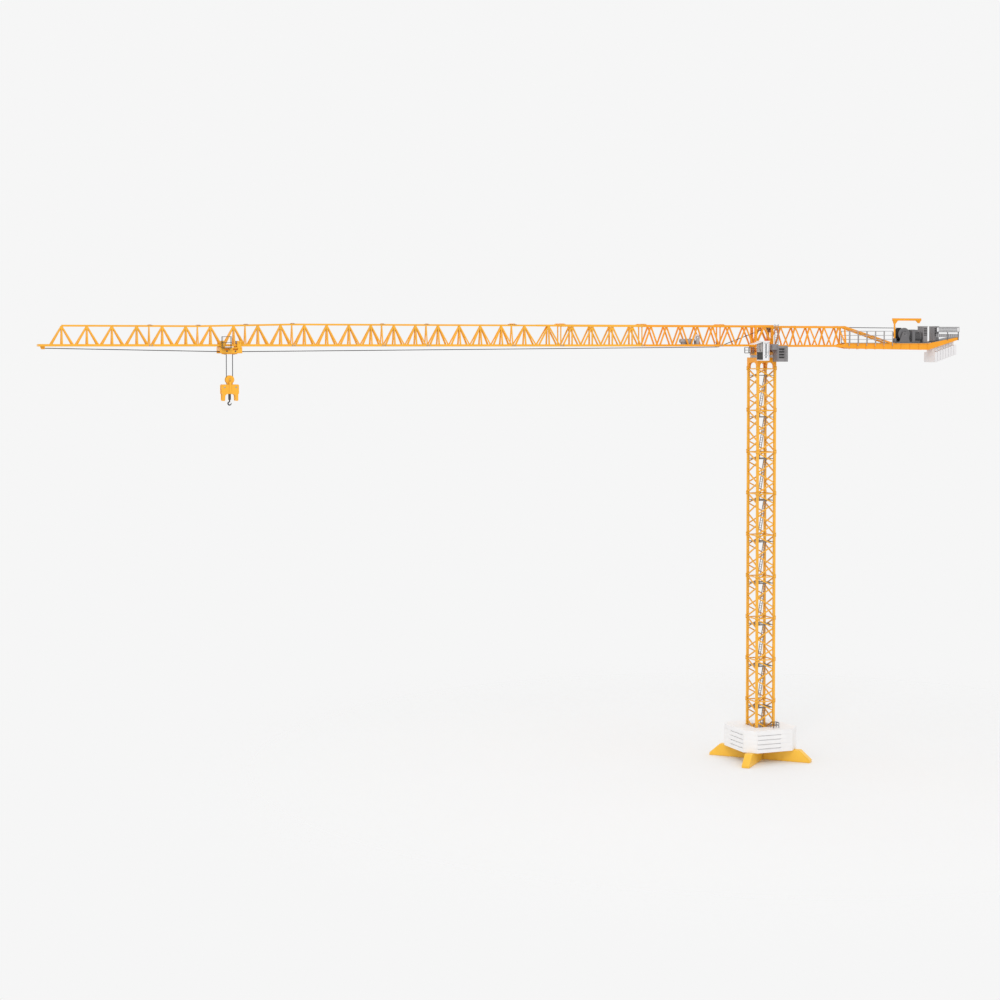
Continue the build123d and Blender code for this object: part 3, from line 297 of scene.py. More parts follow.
def chalky(name, colour):
    """White painted blocks: nearly even, with faint specks and a chalky surface."""
    made = Shader(name, Specular_IOR_Level=0.35)
    cloud = made.ramp(made.noise(45, 5), (0.3, shade(colour, 0.965)), (0.7, shade(colour, 1.02)))
    specks = made.ramp(made.noise(1300, 2), (0.68, 0.0), (0.8, 0.18))
    edges, rounded = made.worn_and_lit_edges(0.3 * MM)
    base = made.mix(specks, cloud, (*shade(colour, 0.8), 1))
    # Edges lighter: rubbed wear and a painted highlight.
    base = made.mix(made.mix(1.0, edges, (0.4, 0.4, 0.4, 1), "MULTIPLY"), base, (0.97, 0.97, 0.97, 1))
    chalk = made.bump(made.noise(1900, 3), 0.03 * MM, 0.6, rounded)
    return made.set(Base_Color=base, Roughness=made.span(made.noise(220, 3), 0.45, 0.62), Normal=chalk)


def floor_paper(name, reach):
    """Pale paper that fades into the background away from the crane."""
    made = Shader(name, Specular_IOR_Level=0.1, Roughness=0.9)
    tone = made.ramp(made.noise(3, 2), (0.2, 0.872), (0.8, 0.882))
    length = made.node("ShaderNodeVectorMath", {0: made.place}, operation="LENGTH").outputs["Value"]
    ports = {"Value": length, "From Min": reach[0], "From Max": reach[1], "To Min": 1.0, "To Max": 0.0}
    fade = made.node("ShaderNodeMapRange", ports, interpolation_type="SMOOTHSTEP").outputs["Result"]
    fibre = made.bump(made.noise(900, 3), 0.05 * MM, 0.3)
    return made.set(Base_Color=tone, Alpha=fade, Normal=fibre)


ORANGE = (0.95, 0.375, 0.014)
AMBER_COLOUR = (0.94, 0.455, 0.035)
BASE_COLOUR = (0.99, 0.56, 0.06)
# The enamels' crevice factors set how dark their painted shade in crevices is.
# The enamels' edge factors set how much lighter their edges are: rubbed wear and a painted highlight.
MATERIALS = {
    "yellow_paint": enamel("orange_enamel", ORANGE),
    "white_paint": enamel("white_enamel", (0.88, 0.87, 0.88), rough=0.4, edge=1.06, crevice_shade=0.85, coat=0.1),
    "grey_paint": enamel("grey_enamel", (0.255, 0.24, 0.245), rough=0.42, edge=1.5, crevice_shade=0.5, coat=0.05),
    "steel": metal("turned_steel", (0.42, 0.41, 0.41)),
    "black_plastic": plastic("black_plastic", (0.022, 0.021, 0.02)),
    "rope": cordage("laid_cord", (0.03, 0.03, 0.034)),
    "glass": glazing("smoked_glazing"),
}
AMBER = enamel("amber_enamel", AMBER_COLOUR, crevice_shade=0.62)
BASE_AMBER = enamel("base_amber_enamel", BASE_COLOUR, edge=1.05, crevice_shade=0.66)
CHALK = chalky("white_blocks", (0.90, 0.89, 0.89))
SLAB_WHITE = chalky("white_slabs", (0.80, 0.78, 0.785))
TREAD = grating("tread_plate", (0.23, 0.225, 0.22))
DARK_STEEL = metal("blackened_steel", (0.10, 0.10, 0.105), rough=0.38)
PALE_GREY = enamel("pale_grey_enamel", (0.42, 0.41, 0.41), rough=0.42, edge=1.3, crevice_shade=0.6, coat=0.05)
MACHINE_GREY = enamel("machine_grey_enamel", (0.155, 0.15, 0.155), rough=0.38, edge=1.6, crevice_shade=0.45, coat=0.1)
LENS_RED = plastic("red_lens", (0.55, 0.03, 0.02), rough=0.25)

SPECIAL = {
    "ballast_slabs": CHALK, "counterweights": SLAB_WHITE, "mast_platforms": TREAD, "service_platform": TREAD,
    "counter_jib_floor": TREAD, "trolley_basket": PALE_GREY, "deck_handrails": PALE_GREY,
    "hoist_motor": MACHINE_GREY, "hoist_winch_frame": MACHINE_GREY, "trolley_winch_frame": PALE_GREY,
    "slewing_motors": MACHINE_GREY, "hoist_drum": MACHINE_GREY, "trolley_drum": MATERIALS["white_paint"],
    "base_tie_bolts": DARK_STEEL, "hook": DARK_STEEL, "hook_swivel": DARK_STEEL,
}
AMBER_NODES = ("mast_foot", "mast_sections", "mast_fishplates", "base_long_beam", "base_half_beams",
               "trolley_frame", "hook_block_frame", "jib_long_sections", "jib_short_sections",
               "jib_tip_section", "jib_inner_section_2", "jib_transition_section")


def paint_frame():
    """Gives every CAD node its material: its own, the amber enamel, or its slot's."""
    for entry in record["subparts"]:
        mesh = nodes[entry["node"]].data
        paint = AMBER if entry["node"] in AMBER_NODES else MATERIALS[entry["material_slot"]]
        mesh.materials.clear()
        mesh.materials.append(SPECIAL.get(entry["node"], paint))


# ---- Mesh helpers ---------------------------------------------------------------------------
def add_block(mesh, low, high, material=0):
    """A box between two corners."""
    low, high = Vector(low), Vector(high)
    made = bmesh.ops.create_cube(mesh, size=1.0)["verts"]
    size = [abs(b - a) for a, b in zip(low, high)]
    place = Matrix.Translation((low + high) / 2) @ Matrix.Diagonal((*size, 1))
    bmesh.ops.transform(mesh, matrix=place, verts=made)
    for face in {face for vert in made for face in vert.link_faces}:
        face.material_index = material
    return made


def add_rod(mesh, start, end, radius, sides=12, material=0, tip=None):
    """A round or hexagonal bar between two points, tapered where tip is given."""
    start, end = Vector(start), Vector(end)
    run = end - start
    turn = run.to_track_quat("Z", "Y").to_matrix().to_4x4()
    place = Matrix.Translation((start + end) / 2) @ turn
    made = bmesh.ops.create_cone(mesh, cap_ends=True, segments=sides, radius1=radius,
                                 radius2=radius if tip is None else tip, depth=run.length,
                                 matrix=place)["verts"]
    for face in {face for vert in made for face in vert.link_faces}:
        face.material_index = material
        face.smooth = sides > 8 and len(face.verts) == 4
    return made


def add_bolt(mesh, place, axis, radius=0.45 * MM, height=0.4 * MM, material=0):
    """Washer, hexagon head and the end of its thread."""
    place, axis = Vector(place), Vector(axis).normalized()
    add_rod(mesh, place, place + axis * height * 0.25, radius * 1.35, 14, material)
    add_rod(mesh, place, place + axis * height, radius, 6, material)
    add_rod(mesh, place, place + axis * height * 1.35, radius * 0.5, 10, material)


def add_plate(mesh, outline, low, high, material=0):
    """A flat plate with an (x, z) outline between two depths."""
    face = mesh.faces.new([mesh.verts.new((x, low, z)) for x, z in outline])
    face.material_index = material
    pulled = bmesh.ops.extrude_face_region(mesh, geom=[face])["geom"]
    for part in pulled:
        if isinstance(part, bmesh.types.BMVert):
            part.co.y = high
        elif isinstance(part, bmesh.types.BMFace):
            part.material_index = material


def piece(name, mesh, materials, body, replaces=(), bevel=None):
    """Turns a bmesh into a piece that rides on a body."""
    data = bpy.data.meshes.new(name)
    bmesh.ops.recalc_face_normals(mesh, faces=mesh.faces)
    mesh.to_mesh(data)
    mesh.free()
    for material in materials:
        data.materials.append(material)
    made = bpy.data.objects.new(name, data)
    scene.collection.objects.link(made)
    if bevel:
        soften(made, bevel)
    if replaces:
        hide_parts(*replaces)
    if body:
        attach(made, body)
    return made


SHARP = radians(35)


def soften(made, width, segments=2):
    """Rounds a piece's sharp edges."""
    edge = made.modifiers.new("soft_edges", "BEVEL")
    edge.width = width
    edge.segments = segments
    edge.limit_method = "ANGLE"
    edge.angle_limit = SHARP
    edge.use_clamp_overlap = True
    edge.harden_normals = False


def softened(node, width, body, material):
    """A copy of a CAD node with clean flat faces and really rounded edges, in its place."""
    mesh = bmesh.new()
    mesh.from_mesh(nodes[node].data)
    bmesh.ops.remove_doubles(mesh, verts=mesh.verts, dist=WELD)
    bmesh.ops.dissolve_limit(mesh, angle_limit=radians(1), verts=mesh.verts, edges=mesh.edges)
    for face in mesh.faces:
        face.smooth = False
    return piece(node + "_soft", mesh, [material], body, [node], width)


def tube(name, points, radius, sides=10, radii=None):
    """A closed tube along points, whose lay coordinates run round and along it."""
    mesh = bmesh.new()
    lay = mesh.loops.layers.uv.new("lay")
    rings, lengths, travelled = [], [], 0.0
    side = None
    for k, point in enumerate(points):
        ahead = points[min(k + 1, len(points) - 1)] - points[max(k - 1, 0)]
        ahead.normalize()
        if side is None:
            side = ahead.orthogonal().normalized()
        side = (side - ahead * side.dot(ahead)).normalized()
        other = ahead.cross(side)
        travelled += (point - points[k - 1]).length if k else 0
        lengths.append(travelled)
        reach = radii[k] if radii else radius
        turns = [2 * pi * j / sides for j in range(sides)]
        places = [point + reach * (side * cos(turn) + other * sin(turn)) for turn in turns]
        rings.append([mesh.verts.new(place) for place in places])
    for k in range(len(rings) - 1):
        for j in range(sides):
            n = (j + 1) % sides
            face = mesh.faces.new((rings[k][j], rings[k][n], rings[k + 1][n], rings[k + 1][j]))
            face.smooth = True
            spots = ((j, k), (j + 1, k), (j + 1, k + 1), (j, k + 1))
            for loop, (strand, step) in zip(face.loops, spots):
                loop[lay].uv = (strand / sides * 6, lengths[step] / radius)
    mesh.faces.new(rings[0][::-1])
    mesh.faces.new(rings[-1])
    data = bpy.data.meshes.new(name)
    bmesh.ops.recalc_face_normals(mesh, faces=mesh.faces)
    mesh.to_mesh(data)
    mesh.free()
    made = bpy.data.objects.new(name, data)
    scene.collection.objects.link(made)
    return made


# ---- Hoist rope -----------------------------------------------------------------------------
ROPE_RADIUS = 0.45 * MM
SAME_PLACE, STRAIGHT = 1e-6, 2e-4


def spline_points(route, resolution=8):
    """Points along the smooth spline of a route, without those that only divide a straight stretch."""
    curve = bpy.data.curves.new("route", "CURVE")
    curve.dimensions = "3D"
    spline = curve.splines.new("NURBS")
    spline.points.add(len(route) - 1)
    for point, place in zip(spline.points, route):
        point.co = (*place, 1)
    spline.order_u = 3
    spline.use_endpoint_u = True
    spline.resolution_u = resolution
    holder = bpy.data.objects.new("route", curve)
    scene.collection.objects.link(holder)
    mesh = bpy.data.meshes.new_from_object(holder)
    points = [vert.co.copy() for vert in mesh.vertices]
    bpy.data.objects.remove(holder)
    bpy.data.meshes.remove(mesh)
    kept = [points[0]]
    for here, after in zip(points[1:], points[2:]):
        before = kept[-1]
        if (here - before).length > SAME_PLACE and (here - before).angle(after - here, 0) > STRAIGHT:
            kept.append(here)
    return kept + [points[-1]]


def rope(name, route, node):
    points = spline_points([Vector((x * MM, 0, z * MM)) for x, z in route])
    made = tube(name, points, ROPE_RADIUS)
    made.data.materials.append(MATERIALS["rope"])
    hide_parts(node)
    return made


def hoist_rope():
    """The rope's two runs along the jib, its falls to the block, and its lead to the drum."""
    x = TROLLEY_X / MM
    outer_route = [(-938.45, 547.6), (-830.0, 545.47), (x - 6.0, 543.4)]
    inner_route = [(x + 6.0, 543.4), (-390.0, 546.15), (-66.0, 548.9)]
    outer = rope("rope_outer_run", outer_route, "hoist_rope_outer_run")
    inner = rope("rope_inner_run", inner_route, "hoist_rope_inner_run")
    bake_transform(outer)
    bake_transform(inner)
    left = [(x - 6.0, 543.4), (x - 3.8, 543.4), (x - 3.8, 539.8), (x - 3.8, 513.6), (x - 3.8, 506.1)]
    right = [(2 * x - px, pz) for px, pz in reversed(left)]
    falls = rope("rope_falls", left + right, "hoist_rope_falls")
    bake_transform(falls)
    lead = rope("rope_lead", [(-66.0, 548.9), (-65.47, 548.9), (-60.0, 550.81), (6.0, 573.91), (11.39, 575.8),
                              (18.0, 575.77), (216.54, 574.75)], "hoist_rope_lead")
    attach(lead, "upperworks")


def drum_winding():
    """The rope's turns on the hoist drum, side by side between the flanges."""
    centre = pivot("hoist_drum_spin")
    lo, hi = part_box("hoist_rope_winding")
    core, turns, steps = 7.45 * MM, 13, 24
    width = (hi[1] - lo[1]) - 2 * ROPE_RADIUS
    points = []
    for k in range(turns * steps + 1):
        angle = 2 * pi * k / steps
        y = lo[1] + ROPE_RADIUS + width * k / (turns * steps)
        points.append(Vector((centre.x + core * sin(angle), y, centre.z + core * cos(angle))))
    made = tube("drum_winding", points, ROPE_RADIUS, 8)
    made.data.materials.append(MATERIALS["rope"])
    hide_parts("hoist_rope_winding")
    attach(made, "hoist_drum")


# ---- Base and mast --------------------------------------------------------------------------
def ballast_rail():
    """The small access rail on top of the ballast."""
    mesh = bmesh.new()
    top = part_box("ballast_slabs")[1][2]
    posts = [Vector((x * MM, y * MM, top)) for x, y in ((5, -27), (13, -27), (13, -20), (5, -20))]
    rise = Vector((0, 0, 7.0 * MM))
    for post in posts:
        add_rod(mesh, post, post + rise, 0.45 * MM, 8)
    for start, end in zip(posts, posts[1:]):
        for share in (0.5, 0.98):
            add_rod(mesh, start + rise * share, end + rise * share, 0.38 * MM, 8)
    piece("ballast_rail", mesh, [DARK_STEEL], "tower")


def mast_fittings():
    """Bolt heads on every fishplate, on both faces of each corner."""
    mesh = bmesh.new()
    lo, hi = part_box("mast_sections")
    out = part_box("mast_fishplates")[1][0]
    rise = (hi[2] - lo[2]) / MAST_SECTIONS
    for level in range(MAST_SECTIONS + 1):
        z = lo[2] + level * rise
        for turn in range(4):
            spin = Matrix.Rotation(turn * pi / 2, 4, "Z")
            for along in (out - 0.9 * MM, out - 2.4 * MM):
                for lift in (z - 1.6 * MM, z + 1.6 * MM):
                    for place, axis in (((out, along, lift), (1, 0, 0)), ((along, out, lift), (0, 1, 0))):
                        add_bolt(mesh, spin @ Vector(place), spin @ Vector(axis), 0.36 * MM, 0.22 * MM)
    piece("mast_bolts", mesh, [AMBER], "tower")


def ring_fittings():
    """Bolt circles of the slewing ring, and the fins of its two motors."""
    mesh = bmesh.new()
    fins, bolts = range(2)
    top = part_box("slewing_ring_upper")[1][2]
    count = 24
    for k in range(count):
        angle = 2 * pi * (k + 0.5) / count
        out = Vector((cos(angle), sin(angle), 0))
        add_bolt(mesh, out * 14.6 * MM + Vector((0, 0, top + 1.8 * MM)), (0, 0, 1), 0.5 * MM, 0.5 * MM, bolts)
        add_bolt(mesh, out * 15.5 * MM + Vector((0, 0, top - 1.2 * MM)), out, 0.4 * MM, 0.3 * MM, bolts)
    motor_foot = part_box("slewing_motors")[0][2]
    for y in (-10.6 * MM, 10.6 * MM):
        for k in range(5):
            z = motor_foot + (1.9 + 0.5 * k) * MM
            add_rod(mesh, (0, y, z), (0, y, z + 0.22 * MM), 2.6 * MM, 20, fins)
    piece("ring_bolts", mesh, [MACHINE_GREY, MATERIALS["steel"]], "upperworks")


# ---- Cab and cabinets -----------------------------------------------------------------------
def cab_trim():
    """Window frames, front panes painted with shade below and a reflection above, door seam, handle, wiper, roof
    lip and lamp of the driver's cab.
    """
    mesh = bmesh.new()
    black, steel, white, red, grey = range(5)
    (x0, y0, z0), (_, _, z1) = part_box("cab_shell")
    x1, y1 = x0 + 9.2 * MM, y0 + 17.7 * MM
    (_, _, sill), (_, _, head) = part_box("cab_glass")
    bar = 0.35 * MM
    front = x0 - 0.25 * MM
    for z in (sill, sill + 9.2 * MM, head):
        add_block(mesh, (front, y0 + 1.0 * MM, z - bar), (x0 + bar, y1 - 1.0 * MM, z + bar), black)
    for y in (y0 + 1.4 * MM, y0 + 8.8 * MM, y1 - 1.4 * MM):
        add_block(mesh, (front, y - bar, sill), (x0 + bar, y + bar, head), black)
    # Opaque front panes: a black lower one as painted shade, a grey upper one as a painted reflection.
    shade_and_reflection_panes = ((sill + 0.4 * MM, sill + 8.9 * MM, black), (sill + 9.6 * MM, head - 0.4 * MM, grey))
    for low, high, painted_pane_light in shade_and_reflection_panes:
        add_block(mesh, (front + 0.05 * MM, y0 + 1.6 * MM, low), (x0 + bar, y1 - 1.6 * MM, high), painted_pane_light)
    wiper = Vector((front - 0.1 * MM, y0 + 5 * MM, sill + 9 * MM))
    add_rod(mesh, wiper, wiper + Vector((0, 4 * MM, 6 * MM)), 0.22 * MM, 8, black)

    side, inner = y0 - 0.2 * MM, y0 + bar
    left, right = x0 + 1.8 * MM, x0 + 6.2 * MM
    low, high = z0 + 3.6 * MM, z1 - 2.6 * MM
    add_block(mesh, (left - bar, side, low - bar), (left + 1.3 * MM, inner, high + bar), white)
    add_block(mesh, (right - 1.3 * MM, side, low - bar), (right + bar, inner, high + bar), white)
    for z in (low + 3.2 * MM, high):
        add_block(mesh, (left, side, z - 0.5 * MM), (right, inner, z + 0.5 * MM), white)

    seam = x1 - 1.6 * MM
    add_block(mesh, (seam, y0 - 0.08 * MM, z0 + 1 * MM), (seam + 0.25 * MM, inner, z1 - 1 * MM), black)
    handle = Vector((x1 - 2.4 * MM, y0 - 0.5 * MM, z0 + 9 * MM))
    add_rod(mesh, handle, handle + Vector((0, 0, 4 * MM)), 0.25 * MM, 8, steel)
    add_block(mesh, (x0 - 0.6 * MM, y0 - 0.5 * MM, z1 - 0.9 * MM), (x1 + 0.4 * MM, y1, z1 + 0.5 * MM), white)
    lamp = Vector((x1 - 3 * MM, y0 + 3 * MM, z1 + 0.4 * MM))
    add_rod(mesh, lamp, lamp + Vector((0, 0, 1.8 * MM)), 0.9 * MM, 14, red, 0.6 * MM)
    materials = [MATERIALS["black_plastic"], MATERIALS["steel"], MATERIALS["white_paint"], LENS_RED,
                 PALE_GREY]
    piece("cab_trim", mesh, materials, "upperworks", bevel=0.08 * MM)


def cabinet_trim():
    """Louvres, door seams and handles of the cabinets, and the ribs on the big one's corner."""
    mesh = bmesh.new()
    black, dark, pale = range(3)
    beside_cab, on_deck, rear = solid_boxes("electrical_cabinets")
    (corner_x, y0, z0), (x1, _, _) = beside_cab
    x0, z1 = corner_x + 7.0 * MM, z0 + 21.0 * MM
    skin = y0 + 0.2 * MM
    left, right = x0 + 2.6 * MM, x0 + 10.4 * MM
    for k in range(4):
        z = z0 + (4.6 + 3.6 * k) * MM
        add_block(mesh, (left, y0 - 0.18 * MM, z), (right, skin, z + 2.1 * MM), black)
        add_block(mesh, (left - 0.3 * MM, y0 - 0.4 * MM, z + 2.0 * MM),
                  (right + 0.3 * MM, skin, z + 2.4 * MM), dark)
    for x in (x0 + 0.8 * MM, x0 + 11.4 * MM):
        add_block(mesh, (x, y0 - 0.12 * MM, z0 + 1 * MM), (x + 0.22 * MM, skin, z1 - 1 * MM), black)
    foot, head = z0 + 1.2 * MM, z1 - 1.2 * MM
    for k in range(5):
        x = x0 + (12.2 + 0.8 * k) * MM
        add_block(mesh, (x, y0 - 0.35 * MM, foot), (x + 0.35 * MM, skin, head), pale)
        y = y0 + (1.6 + 2.0 * k) * MM
        add_block(mesh, (x1 - 0.2 * MM, y, foot), (x1 + 0.35 * MM, y + 0.5 * MM, head), pale)
    for z in (z0 + 8 * MM, z0 + 14 * MM):
        handle = Vector((x0 + 8.0 * MM, y0 - 0.5 * MM, z))
        add_rod(mesh, handle, handle + Vector((0, 0, 1.8 * MM)), 0.22 * MM, 8, black)
    for low, high in (on_deck, rear):
        for k in range(5):
            z = high.z - (3.0 + 2.2 * k) * MM
            add_block(mesh, (low.x + 0.9 * MM, low.y - 0.15 * MM, z - 1.1 * MM),
                      (high.x - 0.9 * MM, low.y + 0.2 * MM, z), black)
        add_block(mesh, (low.x - 0.3 * MM, low.y - 0.3 * MM, high.z - 0.7 * MM),
                  (high.x + 0.3 * MM, high.y + 0.3 * MM, high.z), pale)
    materials = [MATERIALS["black_plastic"], MACHINE_GREY, PALE_GREY]
    piece("cabinet_trim", mesh, materials, "upperworks", bevel=0.06 * MM)


# ---- Jib and counter-jib --------------------------------------------------------------------
def joint_distances():
    """Where the jib's sections meet, outward from the mast, from the sections' own boxes."""
    names = ("jib_inner_section_1", "jib_inner_section_2", "jib_transition_section", "jib_long_sections",
             "jib_short_sections", "jib_tip_section")
    return [-high.x for name in names for _, high in solid_boxes(name)]


def jib_pins():
    """Pins with heads and ends through the chords at every joint of the jib."""
    mesh = bmesh.new()
    z = RAIL_LOW + 1.4 * MM
    for distance in joint_distances():
        for x in (-distance - 1.6 * MM, -distance + 1.6 * MM):
            for side in (-1, 1):
                y = side * CHORD_FACE
                add_rod(mesh, (x, y, z), (x, y + side * 0.5 * MM, z), 0.75 * MM, 12)
                add_rod(mesh, (x, y, z), (x, y + side * 0.8 * MM, z), 0.4 * MM, 8)
    piece("jib_pins", mesh, [MATERIALS["steel"]], "upperworks")


def splice_covers():
    """Plates with sloped ends and bolt heads over the top chord's joints, slimmer on the outer jib."""
    mesh = bmesh.new()
    inner_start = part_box("jib_transition_section")[0][0]
    for low, high in solid_boxes("jib_splices"):
        reach, rise = (3.6 * MM, 0.55) if high.x < inner_start else (6.9 * MM, 0.95)
        x = (low.x + high.x) / 2
        base = high.z - 1.3 * MM
        top = base + rise * 1.3 * MM
        flat = reach * 0.45
        foot = base - 0.5 * MM
        outline = [(x - reach, foot), (x + reach, foot), (x + flat, top), (x - flat, top)]
        add_plate(mesh, outline, low.y, high.y)
        for side, y in ((-1, low.y), (1, high.y)):
            for share in (-0.6, -0.2, 0.2, 0.6):
                place = (x + share * reach, y, base - 0.1 * MM)
                add_bolt(mesh, place, (0, side, 0), 0.32 * MM, 0.3 * MM, 1)
    materials = [MATERIALS["yellow_paint"], MATERIALS["steel"]]
    piece("splice_covers", mesh, materials, "upperworks", ["jib_splices"])


def girder_ribs():
    """Web stiffeners on the outside of the deck's girders, and the strip along their tops."""
    mesh = bmesh.new()
    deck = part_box("counter_jib_floor")[0][2]
    strip_start, strip_end = 126.0 * MM, 254.0 * MM
    for y in (-9.7 * MM, 9.7 * MM):
        for k in range(9):
            x = (140.0 + 14.0 * k) * MM
            add_block(mesh, (x - 0.4 * MM, y - 0.5 * MM, deck - 8.2 * MM),
                      (x + 0.4 * MM, y + 0.5 * MM, deck - 0.4 * MM))
        add_block(mesh, (strip_start, y - 0.5 * MM, deck - 1.1 * MM),
                  (strip_end, y + 0.45 * MM, deck - 0.2 * MM))
    piece("girder_ribs", mesh, [MATERIALS["yellow_paint"]], "upperworks", bevel=0.1 * MM)


def hoist_fittings():
    """Motor fins, terminal box, brake, gearbox bolts and drum bolts on the hoist winch."""
    mesh = bmesh.new()
    grey, dark, steel = range(3)
    lo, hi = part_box("hoist_motor")
    z = lo[2] + 8.2 * MM
    for k in range(10):
        x = lo[0] + (5.4 + 0.95 * k) * MM
        add_rod(mesh, (x, 0, z), (x + 0.38 * MM, 0, z), 6.9 * MM, 28, grey)
    add_rod(mesh, (hi[0] - 0.3 * MM, 0, z), (hi[0] + 1.0 * MM, 0, z), 5.2 * MM, 24, dark)
    add_block(mesh, (lo[0] + 7 * MM, -3.2 * MM, z + 6.0 * MM),
              (lo[0] + 12.5 * MM, 3.2 * MM, z + 9.6 * MM), grey)
    for y in (-6.8, -3.4, 3.4, 6.8):
        for lift in (1.4, 16.4):
            add_bolt(mesh, (lo[0], y * MM, lo[2] + lift * MM), (-1, 0, 0), 0.55 * MM, 0.5 * MM, steel)
    drum = pivot("hoist_drum_spin")
    for side in (-1, 1):
        face = drum + Vector((0, side * 9.0 * MM, 0))
        for k in range(6):
            out = Vector((cos(k * pi / 3), 0, sin(k * pi / 3)))
            add_bolt(mesh, face + out * 2.6 * MM, (0, side, 0), 0.4 * MM, 0.35 * MM, steel)
    materials = [MACHINE_GREY, DARK_STEEL, MATERIALS["steel"]]
    piece("hoist_fittings", mesh, materials, "upperworks", bevel=0.08 * MM)


def name_board():
    """Blank striped board in a dark frame, on its posts, with a box rail below."""
    mesh = bmesh.new()
    white, frame_grey, stripe, pale = range(4)
    (x0, y0, bottom), (x1, y1, z1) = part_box("banner_panel")
    bar = 0.8 * MM
    height = 7.3 * MM
    low = z1 - height
    add_block(mesh, (x0 + 0.5 * MM, y0 + 0.1 * MM, low + 0.5 * MM),
              (x1 - 0.5 * MM, y0 + 0.7 * MM, z1 - 0.5 * MM), white)
    for z in (low, z1 - bar):
        add_block(mesh, (x0, y0, z), (x1, y0 + bar, z + bar), frame_grey)
    for x in (x0, x1 - bar):
        add_block(mesh, (x, y0, low), (x + bar, y0 + bar, z1), frame_grey)
    for share in (0.22, 0.4, 0.6, 0.78):
        z = low + height * share
        add_block(mesh, (x0 + 3 * MM, y0, z - 0.35 * MM), (x1 - 3 * MM, y0 + 0.3 * MM, z + 0.35 * MM), stripe)
    foot = bottom + 5.0 * MM
    for x in (x0 + 1 * MM, (x0 + x1) / 2, x1 - 1 * MM):
        add_block(mesh, (x - 0.6 * MM, y0 + 0.6 * MM, foot), (x + 0.6 * MM, y1, z1 - 3.5 * MM), frame_grey)
    add_block(mesh, (x0, y0 + 0.7 * MM, low - 6.8 * MM), (x1, y1, low - 2.2 * MM), pale)
    for k in range(12):
        x = x0 + (1.5 + 3.0 * k) * MM
        add_block(mesh, (x, y0 + 0.4 * MM, low - 6.4 * MM), (x + 0.5 * MM, y0 + 1.0 * MM, low - 2.6 * MM),
                  frame_grey)
    materials = [MATERIALS["white_paint"], MACHINE_GREY, DARK_STEEL, PALE_GREY]
    piece("name_board", mesh, materials, "upperworks", ["banner_panel"], bevel=0.08 * MM)


# ---- Trolley, block and hook ----------------------------------------------------------------
def trolley_fittings():
    """Axle nuts, plate bolts and edge strips on the trolley's sides."""
    mesh = bmesh.new()
    dark, amber = range(2)
    rows = (  # places along the trolley, height, radius and thickness of the bolts, material
        ((-5.2, 5.2), RAIL_LOW - 5.6 * MM, 0.7, 0.5, dark),
        ((-11.6, -8.4, 8.4, 11.6), RAIL_LOW - 1.9 * MM, 0.45, 0.35, amber),
        ((-10, 10), pivot("outer_wheel_spin").z, 0.8, 0.4, amber),
    )
    half, edge_low, edge_high = 13.0 * MM, RAIL_LOW - 8.2 * MM, RAIL_LOW - 7.5 * MM
    for side in (-1, 1):
        y = side * 9.2 * MM
        for places, z, radius, height, paint in rows:
            for x in places:
                add_bolt(mesh, (TROLLEY_X + x * MM, y, z), (0, side, 0), radius * MM, height * MM, paint)
        add_block(mesh, (TROLLEY_X - half, y - 0.3 * MM, edge_low),
                  (TROLLEY_X + half, y + 0.3 * MM, edge_high), amber)
    piece("trolley_fittings", mesh, [DARK_STEEL, AMBER], "trolley")


def spreader():
    """Pronged side plates of the block with rounded crotches, centre ribs and through bolts."""
    mesh = bmesh.new()
    amber, steel = range(2)
    x, z = TROLLEY_X, SHEAVE_Z
    half = [(9.6, -5.6), (10.5, -6.5), (10.5, -16.2), (9.6, -17.6), (9.6, -24.2), (9.0, -25.2), (7.0, -25.2),
            (6.4, -24.4), (6.2, -20.2)]
    half += [(3.2 + 3.0 * cos(t * pi / 12), -20.0 + 3.0 * sin(t * pi / 12)) for t in range(1, 7)]
    outline = half + [(-px, pz) for px, pz in reversed(half)]
    outline = [(x + px * MM, z + pz * MM) for px, pz in outline]
    inner, outer, rib = 2.6 * MM, 4.4 * MM, 4.85 * MM
    bolt_z = z - 9.0 * MM
    for side in (-1, 1):
        add_plate(mesh, outline, *sorted((side * inner, side * outer)), amber)
        add_block(mesh, (x - 1.3 * MM, side * inner, z - 16.4 * MM),
                  (x + 1.3 * MM, side * rib, z - 2.0 * MM), amber)
        for bolt_x in (x - 7.0 * MM, x + 7.0 * MM):
            add_bolt(mesh, (bolt_x, side * 4.3 * MM, bolt_z), (0, side, 0), 0.7 * MM, 0.5 * MM, steel)
    for bolt_x in (x - 7.0 * MM, x + 7.0 * MM):
        add_rod(mesh, (bolt_x, -3.0 * MM, bolt_z), (bolt_x, 3.0 * MM, bolt_z), 0.9 * MM)
    materials = [AMBER, MATERIALS["steel"]]
    piece("spreader", mesh, materials, "hook_block", ["spreader_plates"], bevel=0.25 * MM)


